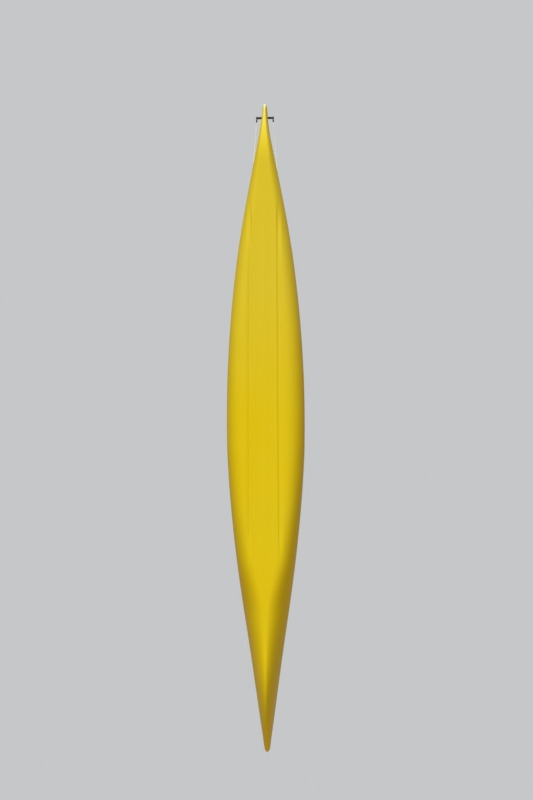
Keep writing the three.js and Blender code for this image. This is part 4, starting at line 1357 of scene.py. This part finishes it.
def rudder_head():
    """The rudder head.

    It is a crossbar that tapers to its ends, a hub over the pin, and two cheeks that reach back to the hinge.
    """
    y = np.linspace(-RUDDER["yoke_half"], RUDDER["yoke_half"], 61)
    k = np.abs(y) / RUDDER["yoke_half"]
    round_end = np.sqrt(np.clip(1 - past(k, BAR["round_from"]) ** 2, 0.02, 1))
    half_x = (BAR["half_x"] - BAR["narrowing"] * k) * round_end
    half_z = BAR["half_z"] * (BAR["end_z"] + (1 - BAR["end_z"]) * round_end)
    mid_z = (RUDDER["yoke_low"] + RUDDER["yoke_high"]) / 2
    bar = loft(y, HEAD_X, half_x, mid_z, half_z, ring_profile(1.0, 1.0, 3.6, 20), along="y")
    hub = lathe((HEAD_X, 0, 0), UPRIGHT, HUB, 40)
    base = block((HEAD_BASE["x"], 0, mid_z), HEAD_BASE["half"], 6.0, 20)
    outline = chaikin(HEAD_CHEEK, 3)
    cheeks = [
        plate_xz(outline, HEAD_CHEEK_IN, HEAD_CHEEK_OUT), plate_xz(outline, -HEAD_CHEEK_OUT, -HEAD_CHEEK_IN)]
    eyes = [lathe((HEAD_X, sign * BAR_EYE_Y, 0), UPRIGHT, BAR_EYE, 28) for _, sign in SIDES]
    return [bar, hub, base, *cheeks, *eyes]


def rudder_pins():
    """The hinge pin with its two heads, and the bolt through each eye of the crossbar."""
    hinge = lathe((HINGE_X, 0, RUDDER["hinge_z"]), (0, 1, 0), HINGE_PIN, 24)
    return [hinge] + [lathe((HEAD_X, sign * BAR_EYE_Y, 0), UPRIGHT, EYE_BOLT, 16) for _, sign in SIDES]


place(piece("rudder_yoke", *rudder_head()), "rudder_head", black, "rudder_head", slot="fitting_plastic")
place(piece("rudder_pins", *rudder_pins()), "rudder_head", steel, slot="cable_steel")

# Blade, from the hinge to the tip: distance from the hinge, lower edge and upper edge from the hinge's height
BLADE_ROWS = np.array([
    (BLADE["hub"], -0.016, 0.016),
    (BLADE["arm"] - 0.040, -0.016, 0.016),
    (BLADE["arm"] - 0.005, -0.035, 0.030),
    (BLADE["arm"] + 0.045, -BLADE["trailing"], BLADE["leading"]),
    (BLADE["arm"] + 0.16, -0.0555, 0.0385),
    (BLADE["length"] - 0.060, -0.050, 0.034),
    (BLADE["length"], -0.044, 0.026),
])
# The hub's circle ends this far past the hinge, the tip rounds off over this length, and its points lie
# closer over this one
HUB_ROUND, BLADE_TIP, TIP_CROWD = 0.008, 0.048, 0.05
# Where the arm starts to turn into a foil and over what length, the power of the arm's section and what the
# foil's has over it, and the height under which the section thins
FOIL = dict(start=0.11, ease=0.08, power=0.35, gain=0.55, thin=0.03)


def blade_edges(d):
    """Lower and upper edge of the blade at a distance from the hinge, both from the hinge's height."""
    held = np.clip(d, BLADE["hub"], BLADE["length"])
    low, high = (curve(BLADE_ROWS[:, 0], BLADE_ROWS[:, k])(held) for k in (1, 2))
    circle = np.sqrt(np.clip(BLADE["hub"] ** 2 - d ** 2, 0, None))
    near = d < HUB_ROUND
    low = np.where(near, -circle, np.minimum(low, -circle))
    high = np.where(near, circle, np.maximum(high, circle))
    into_tip = np.clip((d - (BLADE["length"] - BLADE_TIP)) / BLADE_TIP, 0, 1)
    tip = np.sqrt(np.clip(1 - into_tip ** 2.4, 0, 1))
    middle = (low + high) / 2
    return middle + (low - middle) * tip, middle + (high - middle) * tip


def blade():
    """The blade: sections from its lower to its upper edge, thick in the middle and fine at both edges."""
    hub, tip_start = BLADE["hub"], BLADE["length"] - TIP_CROWD
    d = np.concatenate([
        -hub * np.cos(np.linspace(0, np.pi / 2, 14))[:-1], np.linspace(0, tip_start, 80),
        tip_start + TIP_CROWD * np.sin(np.linspace(0, np.pi / 2, 22))[1:],
    ])
    low, high = blade_edges(d)
    t = circle_steps(40)
    c, s = np.cos(t), np.sin(t)
    foil = smooth((d - FOIL["start"]) / FOIL["ease"])[:, None]
    across = (low + high)[:, None] / 2 + (high - low)[:, None] / 2 * c[None]
    thick = BLADE["half"] * np.sign(s)[None] * np.abs(s)[None] ** (FOIL["power"] + FOIL["gain"] * foil)
    thick = thick * np.sqrt(np.clip((high - low) / FOIL["thin"], 0, 1)[:, None])
    x = np.broadcast_to((HINGE_X + d)[:, None], across.shape)
    return capped(np.stack([x, thick, RUDDER["hinge_z"] + across], -1))


place(piece("blade", blade()), "rudder_blade", blade_coat, "rudder_blade", slot="blade_metal")

# The block that the stowed blade lies over. Its section from the foot up: distance from the middle and height
# over the foot, then distance from the middle and depth under the top
REST = dict(s=0.330, half_x=0.0295, sunk=0.002, top=0.299, rounding=0.35)
REST_FOOT = ((0.0165, 0), (0.0155, 0.004))
REST_TOP = ((0.0125, 0.001), (0.0105, 0), (0.0060, 0.001), (0.0042, 0.0042))


def rest_pad():
    """The block that the stowed blade lies over: tapered sides and a shallow notch in its top."""
    low = float(deck_z(np.array(LENGTH - REST["s"]), 0.0)) - REST["sunk"]
    half = [(y, low + up) for y, up in REST_FOOT] + [(y, REST["top"] - down) for y, down in REST_TOP]
    other = [(-y, z) for y, z in half]
    section = chaikin(other[:1] + half + other[:0:-1])
    k = np.linspace(-1, 1, 15)
    size = np.sqrt(1 - REST["rounding"] * k ** 6)
    return loft(STERN_X + REST["s"] + REST["half_x"] * k, 0, size, low, size, section - (0, low))


place(piece("blade_rest", rest_pad()), "hull", rubber, "rudder_rest", slot="lid_rubber")

# Steering cables and their guides on the deck's edge
GUIDE_X = STERN_X + CABLE["end_s"]
GUIDE_Z = float(sheer(np.array(LENGTH - CABLE["end_s"]))) + CABLE["rise"]
SLEEVE_RADIUS = 0.0056
# A guide's pod: its two ends from the cable's place in it, and its half sizes. Then the same for its foot
POD_ENDS, POD_HALF = ((-0.010, -0.0005, -0.0015), (0.038, -0.0005, -0.0040)), (0.0062, 0.0068)
FOOT_AT, FOOT_HALF = (0.016, -0.004, -0.006), (0.021, 0.0088, 0.0045)
# A cable's sleeve covers these of its points
SLEEVE_SPAN = slice(1, 8)


def cable_path(sign, steps=90):
    """A cable's line: from its eye on the yoke in a long shallow run down to its guide on the deck's edge."""
    y = CABLE["end_y"]
    # X, Y and height of its points, for the port side
    rows = [
        (HEAD_X + 0.0030, 0.068, 0.2945),
        (HEAD_X + 0.030, 0.0695, 0.2930),
        (GUIDE_X - 0.060, y - 0.003, GUIDE_Z + 0.005),
        (GUIDE_X - 0.006, y, GUIDE_Z),
        (GUIDE_X + 0.016, y, GUIDE_Z),
    ]
    return eased(np.array(rows) * (1, sign, 1), steps)


def cable_guide(sign):
    """A cable guide on the deck's edge: a smooth pod that narrows towards the rudder round the cable."""
    k = np.linspace(0, 1, 30)
    (x0, y0, z0), (x1, y1, z1) = POD_ENDS
    y = np.full(30, sign * (CABLE["end_y"] + y0))
    path = np.stack([GUIDE_X + x0 + (x1 - x0) * k, y, GUIDE_Z + z0 + (z1 - z0) * k], -1)
    size = np.sqrt(np.clip(np.sin(np.pi * (0.16 + 0.78 * k) ** 0.9), 0.02, 1))
    foot_at = (GUIDE_X + FOOT_AT[0], sign * (CABLE["end_y"] + FOOT_AT[1]), GUIDE_Z + FOOT_AT[2])
    return [sweep(path, ring_profile(*POD_HALF, 2.3, 20), scale=size), block(foot_at, FOOT_HALF, 4.0, 14)]


for side_name, sign in SIDES:
    path = cable_path(sign)
    wire = tube(path, CABLE["radius"], 10)
    sleeve = tube(path[SLEEVE_SPAN], SLEEVE_RADIUS, 14, tips=0.35)
    for label, shape, look in (("cable_", wire, cable_coat), ("ferrule_", sleeve, black)):
        ob = piece(label + side_name, shape)
        ob.data.materials.append(look)
        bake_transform(ob)
        if label == "cable_":
            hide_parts("rudder_cable_" + side_name)
for side_name, sign in SIDES:
    guide = piece("guide_" + side_name, *cable_guide(sign))
    place(guide, "hull", black, "cable_guide_" + side_name, slot="fitting_plastic")

# Bolts that hang the seat from the coaming, and capped bolts in the hull's colour that hold the foot rails
SEAT_BOLTS = dict(a=(2.735, 2.815), y=0.1782, z=0.247, radius=0.0052, height=0.003)
RAIL_CAPS = dict(inward=0.010, lean=-0.37, out=0.93, radius=0.0065, height=0.0020)
rail_caps = []
for _, sign in SIDES:
    for a in SEAT_BOLTS["a"]:
        at = (BOW_X - a, sign * SEAT_BOLTS["y"], SEAT_BOLTS["z"])
        bolt_heads.append(screw(at, (0, -sign, 0), SEAT_BOLTS["radius"], SEAT_BOLTS["height"]))
    for a in (RAIL["front"] + RAIL_CAPS["inward"], RAIL["back"] - RAIL_CAPS["inward"]):
        at = (BOW_X - a, sign * float(side_y(np.array(a), np.array(RAIL["z"]))), RAIL["z"])
        axis = (0, sign * RAIL_CAPS["out"], RAIL_CAPS["lean"])
        rail_caps.append(screw(at, axis, RAIL_CAPS["radius"], RAIL_CAPS["height"]))
place(piece("bolt_heads", *bolt_heads), "hull", steel, slot="cable_steel")
place(piece("rail_caps", *rail_caps), "hull", yellow, slot="hull_plastic")

# Bulkheads keep their own solids
for name in ("bow_bulkhead", "stern_bulkhead"):
    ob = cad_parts[name]
    ob.data.materials.clear()
    ob.data.materials.append(foam)

# Floor and room
FLOOR = dict(radius=14.0, z=-0.0006, rings=12, steps=72, fade_from=4.5, fade_to=13.5)
FLOOR_COLOUR = (0.64, 0.69, 0.76)
ROOM_COLOUR = (0.56, 0.57, 0.58)
SKY_COLOUR, GROUND_COLOUR = (0.98, 1.01, 1.06), (1.0, 0.64, 0.26)
# The room's light: straight from below, added straight from above, level, and added from the bow
LIGHT = dict(below=0.38, above=0.16, level=0.18, bow=0.34)
# Most of the warm colour that the level light takes, and the share of that which stays high up
LEVEL_WARMTH, HIGH_WARMTH = 0.85, 0.25


def shader_choice(tree, factor, first, second, output):
    """Sends one of two shaders to an output, by a factor."""
    n = tree.nodes.new("ShaderNodeMixShader")
    for socket, source in zip(n.inputs, (factor, first, second)):
        tree.links.new(source, socket)
    tree.links.new(n.outputs[0], tree.nodes[output].inputs["Surface"])


def floor_paint():
    """Pale paint that is seen from above only and melts into the room far out."""
    m, tree, shader = material("floor_paint", Roughness=0.9, Base_Color=(*FLOOR_COLOUR, 1))
    distance = tree.nodes.new("ShaderNodeVectorMath")
    distance.operation = "LENGTH"
    tree.links.new(place_in(tree), distance.inputs[0])
    far_out = range_in(tree, distance.outputs["Value"], FLOOR["fade_from"], FLOOR["fade_to"])
    behind = tree.nodes.new("ShaderNodeNewGeometry").outputs["Backfacing"]
    through = tree.nodes.new("ShaderNodeBsdfTransparent").outputs[0]
    gone = math_in(tree, "MAXIMUM", behind, far_out)
    shader_choice(tree, gone, shader.outputs[0], through, "Material Output")
    return m


def make_floor():
    """A round floor just under the hull that throws no shadow on it, and no light or reflection either."""
    radii = np.linspace(0, 1, FLOOR["rings"]) * FLOOR["radius"]
    r, t = np.meshgrid(radii, circle_steps(FLOOR["steps"]), indexing="ij")
    points = np.stack([r * np.cos(t), r * np.sin(t), np.full_like(r, FLOOR["z"])], -1)
    ob = facing_up(piece("floor", grid(points, closed_v=True)))
    ob.data.materials.append(floor_paint())
    ob.visible_diffuse = False
    ob.visible_glossy = False
    ob.visible_shadow = False


def make_room():
    """A pale room for the camera, lit from above and below, and warm from the bow's side and the horizon."""
    world = bpy.data.worlds.new("room")
    bpy.context.scene.world = world
    world.use_nodes = True
    room = world.node_tree
    lit = room.nodes["Background"]
    seen = room.nodes.new("ShaderNodeBackground")
    seen.inputs["Color"].default_value = (*ROOM_COLOUR, 1)
    where = room.nodes.new("ShaderNodeTexCoord").outputs["Generated"]
    x, z = part_in(room, where, "X"), part_in(room, where, "Z")
    from_below = range_in(room, z, -1.0, 0.0, LIGHT["below"], LIGHT["level"])
    from_above = range_in(room, z, 0.0, 1.0, 0.0, LIGHT["above"])
    from_bow = range_in(room, x, -0.2, 0.9)
    level_warmth = range_in(room, z, -0.7, 0.1, 0.0, LEVEL_WARMTH)
    high_up = range_in(room, z, 0.55, 0.95, 1.0, HIGH_WARMTH)
    warmth = math_in(room, "MAXIMUM", from_bow, math_in(room, "MULTIPLY", level_warmth, high_up))
    up_and_down = math_in(room, "ADD", from_below, from_above)
    strength = math_in(room, "ADD", up_and_down, math_in(room, "MULTIPLY", from_bow, LIGHT["bow"]))
    room.links.new(strength, lit.inputs["Strength"])
    room.links.new(mixed(room, warmth, SKY_COLOUR, GROUND_COLOUR), lit.inputs["Color"])
    by_camera = room.nodes.new("ShaderNodeLightPath").outputs["Is Camera Ray"]
    shader_choice(room, by_camera, lit.outputs[0], seen.outputs[0], "World Output")


def sun(name, direction, strength, angle, colour):
    """A soft key that travels along a direction and leaves no bright spot in the gloss."""
    data = bpy.data.lights.new(name, "SUN")
    data.energy = strength
    data.angle = math.radians(angle)
    data.color = colour
    ob = bpy.data.objects.new(name, data)
    ob.rotation_mode = "QUATERNION"
    ob.rotation_quaternion = Vector(direction).to_track_quat("-Z", "Y")
    ob.visible_glossy = False
    bpy.context.scene.collection.objects.link(ob)


make_floor()
make_room()
bpy.context.scene.view_settings.view_transform = "Standard"
sun("key_below", direction=(2.25, -0.20, 1.0), strength=4.0, angle=14, colour=(1.0, 0.985, 0.95))
sun("key_above", direction=(0.50, -0.16, -1.0), strength=2.2, angle=18, colour=(1.0, 0.99, 0.97))
